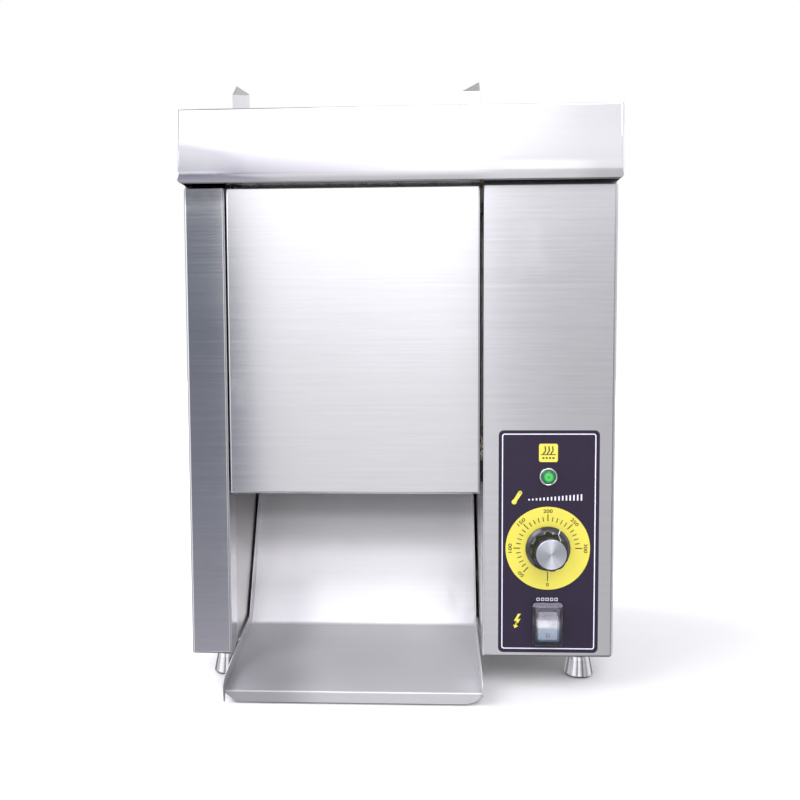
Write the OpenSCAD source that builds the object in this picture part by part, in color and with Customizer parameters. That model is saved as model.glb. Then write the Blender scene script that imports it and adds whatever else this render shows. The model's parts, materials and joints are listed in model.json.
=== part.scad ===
// Vertical conveyor bun toaster: a heated platen stands between two
// counter-running wire belts inside a stainless housing. Bun halves drop in
// at the feeder on top and slide out on the chute at the front.
// Every module is drawn in a machine frame: X to the right, Y = depth behind
// the front face, Z up from the counter. seat() moves it to the part's frame.

/* [Body] */
// Width of the casing
body_w = 433; // [430:1:434]
// Depth of the casing, front face to rear flanges
body_d = 300; // [296:1:304]
// Height of the underside of the casing above the counter
base_z = 35; // [32:1:40]
// Height of the top of the cap above the counter
top_z = 585.5; // [583.5:0.5:592]
// Lower edge of the cap
skirt_z = 515.5; // [515:0.5:518]
// Overhang of the cap in front of the casing
cap_out = 15; // [12:0.5:16]
// Angle through which the lower part of the cap's skirt curves in
cap_bend = 18; // [14:1:20]
// Sheet thickness of the casing
sheet = 1.2; // [1:0.1:1.5]

/* [Opening] */
// Left edge of the conveyor opening
open_l = -175; // [-177:1:-173]
// Right edge of the conveyor opening
open_r = 84; // [83:1:86]
// Lower edge of the front cover
cover_z = 203; // [201:1:210]

/* [Chute] */
// Height of the side flanges of the chute
flange_h = 15; // [10:1:18]
// Sheet thickness of the chute
chute_t = 1.2; // [1:0.1:1.5]

/* [Conveyors] */
// Depth of the front conveyor's shafts
front_d = 47; // [47:0.5:48]
// Height of the driven shafts
drive_z = 525; // [523:1:526]
// Height of the idler shafts
idler_z = 245; // [243:1:260]
// Radius of the belt rollers
roller_r = 18; // [16:0.5:18]
// Thickness of the belts
belt_t = 2; // [1.5:0.1:2.2]

/* [Gears] */
// Gear module
gear_m = 2; // [2:1:2]
// Teeth on each of the four equal gears
gear_n = 20; // [20:1:20]
// Backlash measured along the pitch circle
backlash = 0.3; // [0.2:0.05:0.4]

/* [Controls] */
// Across position of the controls on the front
ctl_x = 149.6; // [148:0.2:152]
// Height of the dial centre
dial_z = 148; // [146:1:150]
// Diameter of the dial
dial_d = 85; // [80:1:88]
// Diameter of the knob's skirt
skirt_d = 45; // [42:1:46]
// Height of the pilot lamp
lamp_z = 221.2; // [220:0.2:223]
// Height of the switch
switch_z = 70.2; // [69:0.2:72]
// Angle of the knob's pointer, clockwise from the top
pointer_a = 32; // [0:1:88]

/* [Hidden] */
$fn = 48;

hw = body_w / 2;
// Depth that lies on the part's own Y = 0
mid_d = 141.1;
pitch_d = gear_m * gear_n;
rear_d = front_d + 3 * pitch_d;          // rear conveyor's shafts, three gear pitches back
wall_l = open_l - sheet - 0.1;           // cavity face of the left inner wall
wall_r = open_r + sheet + 0.1;           // cavity face of the right inner wall
wall_t = 1.5;
belt_x0 = -164;
belt_x1 = 74;
platen_d0 = 93.2;
platen_d1 = 114.8;
heater_z = [300, 395, 490];
probe_z = 445;
platen_mid = (platen_d0 + platen_d1) / 2;
fan_x = 150;
fan_z = 330;
gland_z = 75;
foot_x = 190;
foot_d = [45, 262];
gear_x = 94;
steel = [0.78, 0.78, 0.80];
dark_steel = [0.55, 0.56, 0.58];
black = [0.08, 0.08, 0.09];

// ---------- profiles ----------
function unit(v) = v / norm(v);
function perp(v) = [-v[1], v[0]];
function flip(P) = [for (i = [len(P) - 1 : -1 : 0]) P[i]];

// The rounded corner at b between a and c
function corner(a, b, c, r, n) =
  let (u = unit(a - b), w = unit(c - b), ang = acos(u * w),
       p = b + u * r / tan(ang / 2), q = b + w * r / tan(ang / 2),
       m = b + unit(u + w) * r / sin(ang / 2),
       a0 = atan2(p[1] - m[1], p[0] - m[0]), a1 = atan2(q[1] - m[1], q[0] - m[0]),
       da = ((a1 - a0 + 540) % 360) - 180)
  [for (i = [0 : n]) m + r * [cos(a0 + da * i / n), sin(a0 + da * i / n)]];

// An open line with its inner corners rounded
function rounded(P, R, n = 6) =
  [for (i = [0 : len(P) - 1]) each (i == 0 || i == len(P) - 1 || R[i] <= 0)
    ? [P[i]] : corner(P[i - 1], P[i], P[i + 1], R[i], n)];

// The same line moved sideways by o
function beside(P, o) =
  [for (i = [0 : len(P) - 1])
    let (e = i == 0 ? unit(P[1] - P[0]) : unit(P[i] - P[i - 1]),
         f = i == len(P) - 1 ? e : unit(P[i + 1] - P[i]),
         t = unit(e + f), k = 1 / (perp(t) * perp(e)))
    P[i] + perp(t) * o * k];

// A bent strip of sheet: the line P is one face, the other lies t to its left
module strip(P, R, t) { Q = rounded(P, R); polygon(concat(Q, flip(beside(Q, t)))); }

// A rectangle with its own radius at each corner: low-low, high-low, high-high, low-high
function rrect(x0, y0, x1, y1, r) =
  let (P = [[x0, y0], [x1, y0], [x1, y1], [x0, y1]])
  [for (i = [0 : 3]) each r[i] <= 0.01 ? [P[i]] : corner(P[(i + 3) % 4], P[i], P[(i + 1) % 4], r[i], 6)];
module rplate(x0, y0, x1, y1, r) polygon(rrect(x0, y0, x1, y1, r));

module along_x(x0, x1) translate([x0, 0, 0]) rotate([90, 0, 90]) linear_extrude(x1 - x0) children();
module along_y(d0, d1) translate([0, d1, 0]) rotate([90, 0, 0]) linear_extrude(d1 - d0) children();
module along_z(z0, z1) translate([0, 0, z0]) linear_extrude(z1 - z0) children();
module box(a, b) translate(a) cube(b - a);
module rod_x(x0, x1, d, z, r) translate([x0, d, z]) rotate([0, 90, 0]) cylinder(h = x1 - x0, r = r);
module rod_y(d0, d1, x, z, r, r2 = 0) translate([x, d1, z]) rotate([90, 0, 0])
  cylinder(h = d1 - d0, r1 = r, r2 = r2 > 0 ? r2 : r);
module seat() translate([0, -mid_d, 0]) children();

// A block whose edges are rounded in three views:
// rxz in the front view, rxy seen from above, ryz seen from the right
module soft_box(a, b, rxz, rxy, ryz) intersection() {
  along_y(a[1], b[1]) rplate(a[0], a[2], b[0], b[2], rxz);
  along_z(a[2], b[2]) rplate(a[0], a[1], b[0], b[1], rxy);
  along_x(a[0], b[0]) rplate(a[1], a[2], b[1], b[2], ryz);
}

rear_screw_z = [62, 200, 340, 480];
cap_screw_d = [60, 240];
module rear_screw_holes(r) for (x = [-207, 207], z = rear_screw_z) rod_y(290, 305, x, z, r);
module cap_screw_holes(r) for (x = [-hw - 6, hw - 8], d = cap_screw_d) rod_x(x, x + 14, d, 540, r);

// ---------- casing ----------
// Under the cap the front sheets step back, so that the cap's skirt stands clear
step_z = skirt_z - 4;
step_d = 7;
module left_panel() color(steel) difference() {
  soft_box([-hw, 0, base_z], [open_l, body_d, top_z - sheet - 0.1], [3.5, 1, 0, 0], [3, 2.5, 1.5, 1.5], [3, 1, 0, 0]);
  along_y(sheet, body_d - sheet)
    rplate(-hw + sheet, base_z + sheet, open_l - sheet, step_z - sheet, [2.3, 0, 0, 0]);
  box([-hw + sheet, step_d + sheet, step_z - 5], [open_l - sheet, body_d - sheet, 600]);
  box([-hw - 1, -1, step_z], [open_l + 1, step_d, 600]);
  box([open_l - 6, 25, base_z - 1], [open_l + 1, body_d + 1, 600]);
  box([-201, body_d - 5, 50], [open_l + 1, body_d + 5, 600]);
  box([-202, 16, base_z - 1], [-178, 284, base_z + 5]);
  rear_screw_holes(2);
  cap_screw_holes(2);
}

module control_cabinet() color(steel) difference() {
  soft_box([open_r, 0, base_z], [hw, body_d, top_z - sheet - 0.1], [1, 6, 0, 0], [2, 3.5, 1.5, 1.5], [3, 1, 0, 0]);
  along_y(sheet, body_d - sheet)
    rplate(open_r + sheet, base_z + sheet, hw - sheet, step_z - sheet, [0, 4.8, 0, 0]);
  box([open_r + sheet, step_d + sheet, step_z - 5], [hw - sheet, body_d - sheet, 600]);
  box([open_r - 1, -1, step_z], [hw + 1, step_d, 600]);
  box([open_r - 1, 25, base_z - 1], [open_r + 6, body_d + 1, 600]);
  box([open_r - 1, body_d - 5, 50], [201, body_d + 5, 600]);
  box([open_r + 8, 16, base_z - 1], [202, 284, base_z + 5]);
  rod_y(-1, 3, ctl_x, lamp_z, 8);
  rod_y(-1, 3, ctl_x, dial_z, 5.5);
  for (s = [-1, 1]) rod_y(-1, 3, ctl_x + 14 * s, dial_z, 2);
  box([ctl_x - 12.2, -1, switch_z - 18.7], [ctl_x + 12.2, 3, switch_z + 18.7]);
  // cooling slots low on the right side
  for (i = [0 : 7]) box([hw - 3, 70 + 20 * i, 70], [hw + 1, 75 + 20 * i, 130]);
  rear_screw_holes(2);
  cap_screw_holes(2);
}

module left_inner_wall() color(steel) difference() {
  box([wall_l - wall_t, 1.4, base_z + 2.4], [wall_l, body_d - 1.6, top_z - sheet - 0.1]);
  for (d = [front_d, rear_d], z = [drive_z, idler_z]) rod_x(wall_l - 5, wall_l + 5, d, z, 8);
  box([wall_l - 5, 0, step_z - 2.4], [wall_l + 1, step_d + 1.6, 600]);
}

module right_inner_wall() color(steel) difference() {
  box([wall_r, 1.4, base_z + 2.4], [wall_r + wall_t, body_d - 1.6, top_z - sheet - 0.1]);
  for (d = [front_d, rear_d], z = [drive_z, idler_z]) rod_x(wall_r - 5, wall_r + 5, d, z, 8);
  box([wall_r - 1, 0, step_z - 2.4], [wall_r + 5, step_d + 1.6, 600]);
  for (z = heater_z) rod_x(wall_r - 5, wall_r + 5, platen_mid, z, 7);
  rod_x(wall_r - 5, wall_r + 5, platen_mid, probe_z, 4);
  rod_x(wall_r - 5, wall_r + 5, front_d + 2 * pitch_d, drive_z, 4);
}

module base_pan() color(dark_steel) difference() {
  union() {
    box([-hw + 3.7, 1.4, base_z + sheet], [hw - 6.4, body_d - 1.4, base_z + 2 * sheet]);
    box([wall_l + 0.1, 92, base_z + sheet], [wall_r - 0.1, 93.2, base_z + 9.4]);
  }
  // the chute leaves through this notch
  box([open_l - 2.9, -1, base_z], [open_r + 2.9, 92, base_z + 20]);
  for (x = [-foot_x, foot_x], d = foot_d) translate([x, d, base_z]) cylinder(h = 5, r = 4.5);
  // air inlets under the control space
  for (i = [0 : 6]) box([110, 130 + 14 * i, base_z], [175, 135 + 14 * i, base_z + 5]);
}

module rear_cover() color(steel) difference() {
  along_y(body_d, body_d + sheet) rplate(-hw + 1.5, base_z + 3, hw - 1.5, 560, [4, 4, 1, 1]);
  rod_y(body_d - 5, body_d + 5, fan_x, fan_z, 37);
  rod_y(body_d - 5, body_d + 5, fan_x, gland_z, 10);
  for (i = [0 : 6]) box([115, body_d - 5, 440 + 11 * i], [185, body_d + 5, 444.5 + 11 * i]);
  for (i = [0 : 6]) box([115, body_d - 5, 180 + 11 * i], [185, body_d + 5, 184.5 + 11 * i]);
  rear_screw_holes(2);
}

// The cap seen from the right: its front skirt curves in towards the casing
// over the last 14 mm and ends in a small return
cap_r = 38.5;
function skirt_x(o) = -cap_out + cap_r - (cap_r - o) * cos(cap_bend);
function skirt_h(o) = skirt_z + 14 - (cap_r - o) * sin(cap_bend);
module cap_side(o) polygon(concat(
  corner([100, top_z - o], [-cap_out + o, top_z - o], [-cap_out + o, 540], 1.8 - o, 6),
  [for (i = [0 : 8]) let (a = cap_bend * i / 9) [-cap_out + cap_r - (cap_r - o) * cos(a), skirt_z + 14 - (cap_r - o) * sin(a)]],
  corner([skirt_x(o), skirt_h(o)], [skirt_x(o) + (skirt_h(o) - skirt_z - o) * tan(cap_bend), skirt_z + o], [100, skirt_z + o], 1.9 - o, 5),
  corner([100, skirt_z + o], [body_d + 6 - o, skirt_z + o], [body_d + 6 - o, 540], 7 - o, 6),
  corner([body_d + 6 - o, 540], [body_d + 6 - o, top_z - o], [100, top_z - o], 2.5 - o, 6)));
cap_hw = hw + 1.9;
module cap_block(o) {
  x = cap_hw - o;
  intersection() {
    along_y(-cap_out - 1, body_d + 7) rplate(-x, skirt_z + o, x, top_z - o, [5 - o, 5 - o, 2.5 - o, 2.5 - o]);
    along_z(skirt_z - 1, top_z + 1) rplate(-x, -cap_out + o, x, body_d + 6 - o, [4 - o, 4 - o, 3 - o, 3 - o]);
    along_x(-x - 1, x + 1) cap_side(o);
  }
}
module top_cap() color(steel) difference() {
  cap_block(0);
  cap_block(sheet);
  box([-hw - 0.6, 4.4 - cap_out, skirt_z - 1], [hw + 0.6, body_d + 2, skirt_z + 6]);
  box([open_l - 4, 30, top_z - 5], [open_r + 4, 212, top_z + 1]);
  cap_screw_holes(2);
}

module screw_y(x, d, z) {
  rod_y(d, d + 2.2, x, z, 3.6);
  rod_y(d - 6, d, x, z, 1.9);
}
module case_screws() color([0.85, 0.85, 0.87]) {
  for (x = [-207, 207], z = rear_screw_z) difference() {
    screw_y(x, body_d + sheet, z);
    for (a = [0, 90]) translate([x, body_d + sheet + 2.2, z]) rotate([0, a, 0]) cube([4.4, 2.4, 0.9], center = true);
  }
  for (s = [-1, 1], d = cap_screw_d) difference() {
    union() {
      rod_x(s > 0 ? cap_hw : -cap_hw - 2.2, s > 0 ? cap_hw + 2.2 : -cap_hw, d, 540, 3.6);
      rod_x(s > 0 ? hw - 6 : -cap_hw, s > 0 ? cap_hw : -hw + 6, d, 540, 1.9);
    }
    for (a = [0, 90]) translate([s * (cap_hw + 2.2), d, 540]) rotate([a, 0, 0]) cube([2.4, 4.4, 0.9], center = true);
  }
}

// ---------- feet ----------
module foot_pads() color([0.7, 0.7, 0.72]) for (x = [-foot_x, foot_x], d = foot_d) translate([x, d, 0])
  difference() {
    union() {
      cylinder(h = 3, r = 15);
      translate([0, 0, 3]) cylinder(h = 19, r1 = 15, r2 = 11);
      translate([0, 0, 22]) cylinder(h = base_z + sheet - 22, r = 11);
    }
    translate([0, 0, 12]) cylinder(h = 40, r = 4);
  }
module foot_studs() color([0.82, 0.82, 0.84]) for (x = [-foot_x, foot_x], d = foot_d) translate([x, d, 0]) {
  translate([0, 0, 12]) cylinder(h = base_z, r = 4);
  translate([0, 0, base_z + 2 * sheet]) cylinder(h = 6.2, r = 7.4, $fn = 6);
}

// ---------- front cover ----------
cover_x0 = open_l + 1.2;
cover_x1 = open_r - 2.8;
cover_z1 = skirt_z - 4;
stud_x = [cover_x0 + 8, cover_x1 - 8];
stud_z = [cover_z + 26, 492];
module front_cover() color(steel) difference() {
  soft_box([cover_x0, 0, cover_z], [cover_x1, 14, cover_z1], [2, 2, 1, 1], [2.5, 2.5, 0, 0], [2.5, 0, 0, 1.5]);
  box([cover_x0 + sheet, sheet, cover_z + sheet], [cover_x1 - sheet, 15, cover_z1 - sheet]);
}
module cover_studs() color(dark_steel) for (x = stud_x, z = stud_z) {
  rod_y(sheet, 26, x, z, 2.5);
  rod_y(sheet, 4, x, z, 5);
}
module cover_catches() color([0.3, 0.3, 0.32]) for (i = [0, 1], z = stud_z) difference() {
  union() {
    box([i == 0 ? open_l : stud_x[1] - 5, 15, z - 5], [i == 0 ? stud_x[0] + 5 : open_r, 24, z + 5]);
  }
  rod_y(10, 30, stud_x[i], z, 2.65);
}

// ---------- chute ----------
lip0 = [-37.4, 1.9];
lip1 = [-34.6, 10.9];
bend = [88, 36.5];
crest = [157.3, 190];
chute_x0 = open_l + 0.7;
chute_x1 = open_r - 1.8;
run = unit(bend - lip1);
lip_run = unit(lip1 - lip0);
// Underside of the sheet, from the lip to the crest
chute_line = rounded([lip0, lip1, bend, crest], [0, 1.2, 9, 0]);
// Upper face of the sheet, carried past both ends
chute_top = beside(rounded([lip0 - 20 * lip_run, lip1, bend, crest + 20 * unit(crest - bend)], [0, 1.2, 9, 0]), chute_t);
// Outer edge of the side flanges: up beside the lip, over a round nose and back
// along the floor, then mitred at the bend
nose = lip1 - 4.3 * run + flange_h * perp(run);
side_edge = concat([[-38.9, 1.9]], rounded([[-39.6, 8], nose, nose + 30 * run], [0, 7, 0]),
  rounded(beside([lip1 + 25 * run, bend, crest], flange_h), [0, 5, 0]));
module chute() color(steel) difference() {
  along_x(chute_x0, chute_x1) polygon(concat(chute_line, flip(side_edge)));
  along_x(chute_x0 + chute_t, chute_x1 - chute_t)
    polygon(concat(chute_top, [[60, 260], [-80, 260], [-80, 0]]));
  // left corner of the lip, cut beside the flange
  along_y(-50, -28) polygon([[chute_x0 + chute_t, 9.6], [chute_x0 + 13, 1.4], [chute_x0 + 13, -5], [chute_x0 + chute_t, -5]]);
  // round right corner
  along_y(-50, -28) polygon(concat([[chute_x1 + 5, -5], [chute_x1 + 5, 13.5]],
    [for (a = [0 : 7.5 : 90]) [chute_x1 - 19.4 + 19.4 * cos(a), 13.5 - 11.6 * sin(a)]], [[chute_x1 - 19.4, -5]]));
}
module chute_stop_bar() color(dark_steel) rod_x(wall_l, wall_r, 163, 185, 4);

// ---------- bun feeder ----------
feed_x0 = open_l + 1.5;
feed_x1 = open_r - 1.5;
ear_d = 35;
ear_w = 17.5;
// A front ear: an upright flange with a folded corner flap above it
module ear(x, s) intersection() {
  along_x(min(x, x + s * ear_w), max(x, x + s * ear_w))
    strip([[ear_d, 549], [ear_d, 613.5], [ear_d + 18.6, 628.2]], [0, 2.2, 0], -sheet);
  along_z(540, 640) polygon([[x, ear_d - 1], [x + s * ear_w, ear_d - 1], [x + s * ear_w, ear_d + 1.3], [x, ear_d + 19.6]]);
}
module bun_feeder() color(steel) {
  for (x = [feed_x0, feed_x1 - sheet])
    along_x(x, x + sheet) polygon([[ear_d, 549], [206, 549], [206, 627], [188, 627], [164, 603], [66, 603],
      [ear_d + 21, 628.2], [ear_d + 18, 628.2], [ear_d, 614]]);
  ear(feed_x0, 1);
  ear(feed_x1, -1);
  along_x(feed_x0 + 0.6, feed_x1 - 0.6) strip([[63.5, 550], [40, 594], [ear_d + 1.2, 594]], [0, 3, 0], sheet);
  along_x(feed_x0 + 0.6, feed_x1 - 0.6) strip([[205, 627], [205, 600], [150, 550]], [0, 5, 0], -sheet);
  along_x(feed_x0 + 0.6, feed_x1 - 0.6) strip([[93, 550], [104, 590], [115, 550]], [0, 2.5, 0], -sheet);
  // tabs that rest on the cap
  for (d = [60, 150]) {
    box([feed_x0 - 9, d, top_z + 0.3], [feed_x0 + 0.6, d + 30, top_z + 0.3 + sheet]);
    box([feed_x1 - 0.6, d, top_z + 0.3], [feed_x1 + 9, d + 30, top_z + 0.3 + sheet]);
  }
}

// ---------- platen ----------
module platen() color([0.62, 0.62, 0.62]) difference() {
  along_x(-166, 76) rplate(platen_d0, 250, platen_d1, 540, [3, 3, 8, 8]);
  for (z = heater_z) rod_x(-162, 80, platen_mid, z, 5.1);
  rod_x(-30, 80, platen_mid, probe_z, 3.1);
}
module release_sheet() color([0.55, 0.42, 0.28]) along_x(-165, 75)
  strip([[platen_d0 - 0.2, 248], [platen_d0 - 0.2, 540.3], [platen_d1 + 0.2, 540.3], [platen_d1 + 0.2, 248]],
    [0, 8.5, 8.5, 0], 0.5);
module platen_brackets() color(dark_steel) for (z = [256, 508])
  for (x = [[wall_l, -166], [76, wall_r]]) difference() {
    box([x[0], platen_mid - 7, z], [x[1], platen_mid + 7, z + 27]);
    box([x[0] - 1, platen_mid - 5, z + 3], [x[1] + 1, platen_mid + 8, z + 24]);
  }
module heater_rods() color([0.5, 0.48, 0.46]) for (z = heater_z) {
  rod_x(-161, 79, platen_mid, z, 5);
  rod_x(79, 104, platen_mid, z, 2);
}
module heater_insulators() color([0.93, 0.9, 0.84]) for (z = heater_z) difference() {
  union() {
    rod_x(79.2, 96, platen_mid, z, 5.5);
    rod_x(86.9, 89, platen_mid, z, 9);
  }
  rod_x(70, 110, platen_mid, z, 2.05);
}

// Capillary between the sensing bulb and the thermostat, round numbers by hand
cap_route = [[78, 104, 445], [88, 104, 445], [98, 104, 444], [106, 106, 436], [110, 110, 420],
  [112, 116, 390], [114, 122, 350], [116, 124, 310], [118, 120, 270], [122, 108, 236],
  [130, 88, 206], [140, 66, 188], [147, 50, 176], [149.6, 42, 168], [149.6, 36, 160]];
function ring(P, i, r, n) =
  let (a = P[max(i - 1, 0)], b = P[min(i + 1, len(P) - 1)], t = unit(b - a),
       u = unit(cross(t, [0, 0.3, 1])), v = cross(t, u))
  [for (k = [0 : n - 1]) P[i] + r * (cos(360 * k / n) * u + sin(360 * k / n) * v)];
module tube(P, r, n = 8) {
  m = len(P);
  polyhedron(points = [for (i = [0 : m - 1]) each ring(P, i, r, n)],
    faces = concat([[for (k = [0 : n - 1]) k]], [[for (k = [n - 1 : -1 : 0]) (m - 1) * n + k]],
      [for (i = [0 : m - 2], k = [0 : n - 1])
        each [[i * n + k, (i + 1) * n + k, i * n + (k + 1) % n],
              [(i + 1) * n + k, (i + 1) * n + (k + 1) % n, i * n + (k + 1) % n]]]));
}
module thermostat_probe() color([0.8, 0.55, 0.35]) {
  rod_x(-20, 78, platen_mid, probe_z, 3);
  tube(cap_route, 1.2);
}

// ---------- controls ----------
module thermostat_body() color([0.75, 0.75, 0.72]) difference() {
  union() {
    box([ctl_x - 19, 2.4, dial_z - 17], [ctl_x + 19, 24, dial_z + 17]);
    box([ctl_x - 17, 24, dial_z - 15], [ctl_x + 17, 34, dial_z + 15]);
    rod_y(1.3, 2.5, ctl_x, dial_z, 9);
    rod_y(-0.2, 2.5, ctl_x, dial_z, 5.3);
    for (s = [-1, 1]) box([ctl_x + 11 * s - 1, 34, dial_z - 12], [ctl_x + 11 * s + 1, 42, dial_z - 5]);
  }
  rod_y(-2, 22, ctl_x, dial_z, 3.06);
}
module thermostat_shaft() color(dark_steel) difference() {
  rod_y(-19, 21.5, ctl_x, dial_z, 3);
  translate([ctl_x, 0, dial_z]) rotate([0, pointer_a, 0]) box([-4, -20, 2], [4, -8, 4]);
}
module knob() color(black) translate([ctl_x, 0, dial_z]) rotate([0, pointer_a, 0]) difference() {
  union() {
    rod_y(-3.4, -1.2, 0, 0, skirt_d / 2);
    rod_y(-6.2, -3.4, 0, 0, skirt_d / 2, 19.4);
    rod_y(-26.4, -6.2, 0, 0, 18.2, 16.8);
  }
  for (i = [0 : 9]) rotate([0, 18 + 36 * i, 0]) translate([25.4, 0, 0]) rod_y(-30, -6.8, 0, 0, 9.4);
  rod_y(-30, -25.2, 0, 0, 15.3);
  difference() {
    rod_y(-19.5, 0, 0, 0, 3.02);
    box([-4, -20, 2.05], [4, -8, 4]);
  }
}
module knob_cap() color([0.85, 0.85, 0.88]) translate([ctl_x, 0, dial_z]) {
  rod_y(-26.2, -25.2, 0, 0, 15.1);
  rod_y(-27, -26.2, 0, 0, 15.1, 14.3);
}
module control_overlay() color([0.22, 0.20, 0.26]) difference() {
  along_y(-0.4, 0) rplate(99.9, 40.2, 200.9, 268, [5, 5, 5, 5]);
  rod_y(-2, 2, ctl_x, lamp_z, 8);
  rod_y(-2, 2, ctl_x, dial_z, 5.5);
  box([ctl_x - 12.2, -2, switch_z - 18.7], [ctl_x + 12.2, 2, switch_z + 18.7]);
}
module dial_plate() color([0.93, 0.88, 0.35]) difference() {
  rod_y(-0.7, -0.4, ctl_x, dial_z, dial_d / 2);
  rod_y(-2, 2, ctl_x, dial_z, 5.5);
}
module lamp_bezel() color([0.85, 0.85, 0.87]) difference() {
  union() {
    rod_y(-2, -0.4, ctl_x, lamp_z, 9.45);
    rod_y(-3.6, -2, ctl_x, lamp_z, 9.45, 8.4);
    rod_y(-0.4, 20, ctl_x, lamp_z, 7.8);
  }
  rod_y(-5, -0.8, ctl_x, lamp_z, 7.2);
  rod_y(-5, 18, ctl_x, lamp_z, 5.5);
}
module lamp_lens() color([0.2, 0.8, 0.35]) {
  rod_y(-4.2, -0.9, ctl_x, lamp_z, 7.05);
  rod_y(-6, -4.2, ctl_x, lamp_z, 7.05, 5);
  rod_y(-0.9, 12, ctl_x, lamp_z, 5.3);
}
module lamp_nut() color(dark_steel) difference() {
  translate([ctl_x, 5.2, lamp_z]) rotate([90, 0, 0]) cylinder(h = 3.8, r = 11.5, $fn = 6);
  rod_y(0, 10, ctl_x, lamp_z, 7.9);
}
module switch_body() color(black) translate([ctl_x, 0, switch_z]) difference() {
  union() {
    along_y(-3.4, -0.4) rplate(-15, -22.4, 15, 22.4, [3, 3, 3, 3]);
    box([-12, -0.4, -18.5], [12, 26, 18.5]);
    for (s = [-1, 0, 1]) box([-3, 26, s * 11 - 0.4], [3, 35, s * 11 + 0.4]);
  }
  box([-9.6, -5, -15], [9.6, 14, 15]);
  rod_x(-11, 11, 3, 0, 1.62);
}
rocker_tilt = 9;
module switch_rocker() color([0.75, 0.78, 0.78]) translate([ctl_x, 3, switch_z]) rotate([rocker_tilt, 0, 0]) {
  along_x(-9.2, 9.2) polygon([[-11.4, -13], [-10.2, -13.6], [-3, -13.6], [4, -4], [4, 4], [-3, 13.6], [-10.2, 13.6],
    [-11.4, 13], [-9.7, 6], [-9.1, 0], [-9.7, -6]]);
  rod_x(-10.8, 10.8, 0, 0, 1.55);
}
module switch_hood() color([0.9, 0.92, 0.92, 0.35]) translate([ctl_x, 0, switch_z]) difference() {
  union() {
    along_y(-4.6, -3.4) rplate(-15, -22.4, 15, 22.4, [3, 3, 3, 3]);
    hull() {
      along_y(-4.7, -4.6) rplate(-13.2, -19.6, 13.2, 19.6, [3, 3, 3, 3]);
      along_y(-15.6, -15.5) rplate(-11.6, -13.2, 11.6, 12.2, [4, 4, 4, 4]);
    }
  }
  hull() {
    along_y(-3.39, -3.3) rplate(-12.2, -18.6, 12.2, 18.6, [2, 2, 2, 2]);
    along_y(-14.5, -14.4) rplate(-10.5, -12.1, 10.5, 11.1, [3, 3, 3, 3]);
  }
}

// ---------- conveyors ----------
function arc(c, r, a0, a1, n) = [for (i = [0 : n]) c + r * [cos(a0 + (a1 - a0) * i / n), sin(a0 + (a1 - a0) * i / n)]];
function stadium(d, r) = concat(arc([d, drive_z], r, 0, 180, 20), arc([d, idler_z], r, 180, 360, 20));
module belt(d) color(dark_steel) along_x(belt_x0, belt_x1) difference() {
  polygon(stadium(d, roller_r + 0.4 + belt_t));
  polygon(stadium(d, roller_r + 0.4));
}
module roller(d, z) color([0.6, 0.6, 0.6]) difference() {
  rod_x(belt_x0, belt_x1, d, z, roller_r);
  rod_x(belt_x0 + 4, belt_x1 - 4, d, z, roller_r - 2);
  rod_x(belt_x0 - 1, belt_x1 + 1, d, z, 5.03);
}
module shaft(d, z, x1) color([0.7, 0.7, 0.72]) difference() {
  rod_x(wall_l - 8, x1, d, z, 5);
  for (x = [wall_l - 6.2]) difference() { rod_x(x, x + 1, d, z, 6); rod_x(x - 1, x + 2, d, z, 4.4); }
}
module pressure_plate(d, s) color(dark_steel) along_x(wall_l, wall_r)
  strip([[d + s * 9, 268], [d + s * (roller_r + 0.1), 268], [d + s * (roller_r + 0.1), 502], [d + s * 9, 502]],
    [0, 3, 3, 0], s * 1.5);
module shaft_bushes() color([0.72, 0.58, 0.35])
  for (d = [front_d, rear_d], z = [drive_z, idler_z]) {
    difference() {
      union() {
        rod_x(wall_l - 4.5, wall_l + 2, d, z, 8);
        rod_x(wall_l - wall_t - 2, wall_l - wall_t, d, z, 11);
      }
      rod_x(wall_l - 10, wall_l + 10, d, z, 5.06);
    }
    difference() {
      union() {
        rod_x(wall_r - 2, wall_r + 4.5, d, z, 8);
        rod_x(wall_r + wall_t, wall_r + wall_t + 2, d, z, 11);
      }
      rod_x(wall_r - 10, wall_r + 10, d, z, 5.06);
    }
  }

// ---------- gears ----------
function inv_a(r, rb) = let (a = acos(min(1, rb / r))) tan(a) * 180 / PI - a;
function half_a(r, rp, rb) = ((PI * gear_m - 2 * backlash) / 4 / rp) * 180 / PI + inv_a(rp, rb) - inv_a(max(r, rb), rb);
function gear_pts() =
  let (rp = pitch_d / 2, rb = rp * cos(20), R = [rp - 1.3 * gear_m, rb, rp - 0.6, rp, rp + 0.7, rp + 1.3, rp + 0.95 * gear_m])
  [for (k = [0 : gear_n - 1]) each concat(
    [for (r = R) r * [cos(360 * k / gear_n - half_a(r, rp, rb)), sin(360 * k / gear_n - half_a(r, rp, rb))]],
    [for (r = flip(R)) r * [cos(360 * k / gear_n + half_a(r, rp, rb)), sin(360 * k / gear_n + half_a(r, rp, rb))]])];
module gear(d, turn, bore, c = [0.8, 0.78, 0.7]) color(c) difference() {
  union() {
    translate([gear_x, d, drive_z]) rotate([90, 0, 90]) rotate(turn) linear_extrude(8) polygon(gear_pts());
    rod_x(gear_x - 2, gear_x + 9, d, drive_z, 9);
  }
  rod_x(gear_x - 10, gear_x + 20, d, drive_z, bore);
}
module idler_axle() color([0.7, 0.7, 0.72]) {
  rod_x(wall_r - 1, gear_x + 12, front_d + 2 * pitch_d, drive_z, 4);
  rod_x(wall_r + wall_t, gear_x - 2.5, front_d + 2 * pitch_d, drive_z, 7);
  rod_x(gear_x + 9.5, gear_x + 12, front_d + 2 * pitch_d, drive_z, 6);
}
motor_d = front_d + pitch_d;
motor_x = 112;
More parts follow.
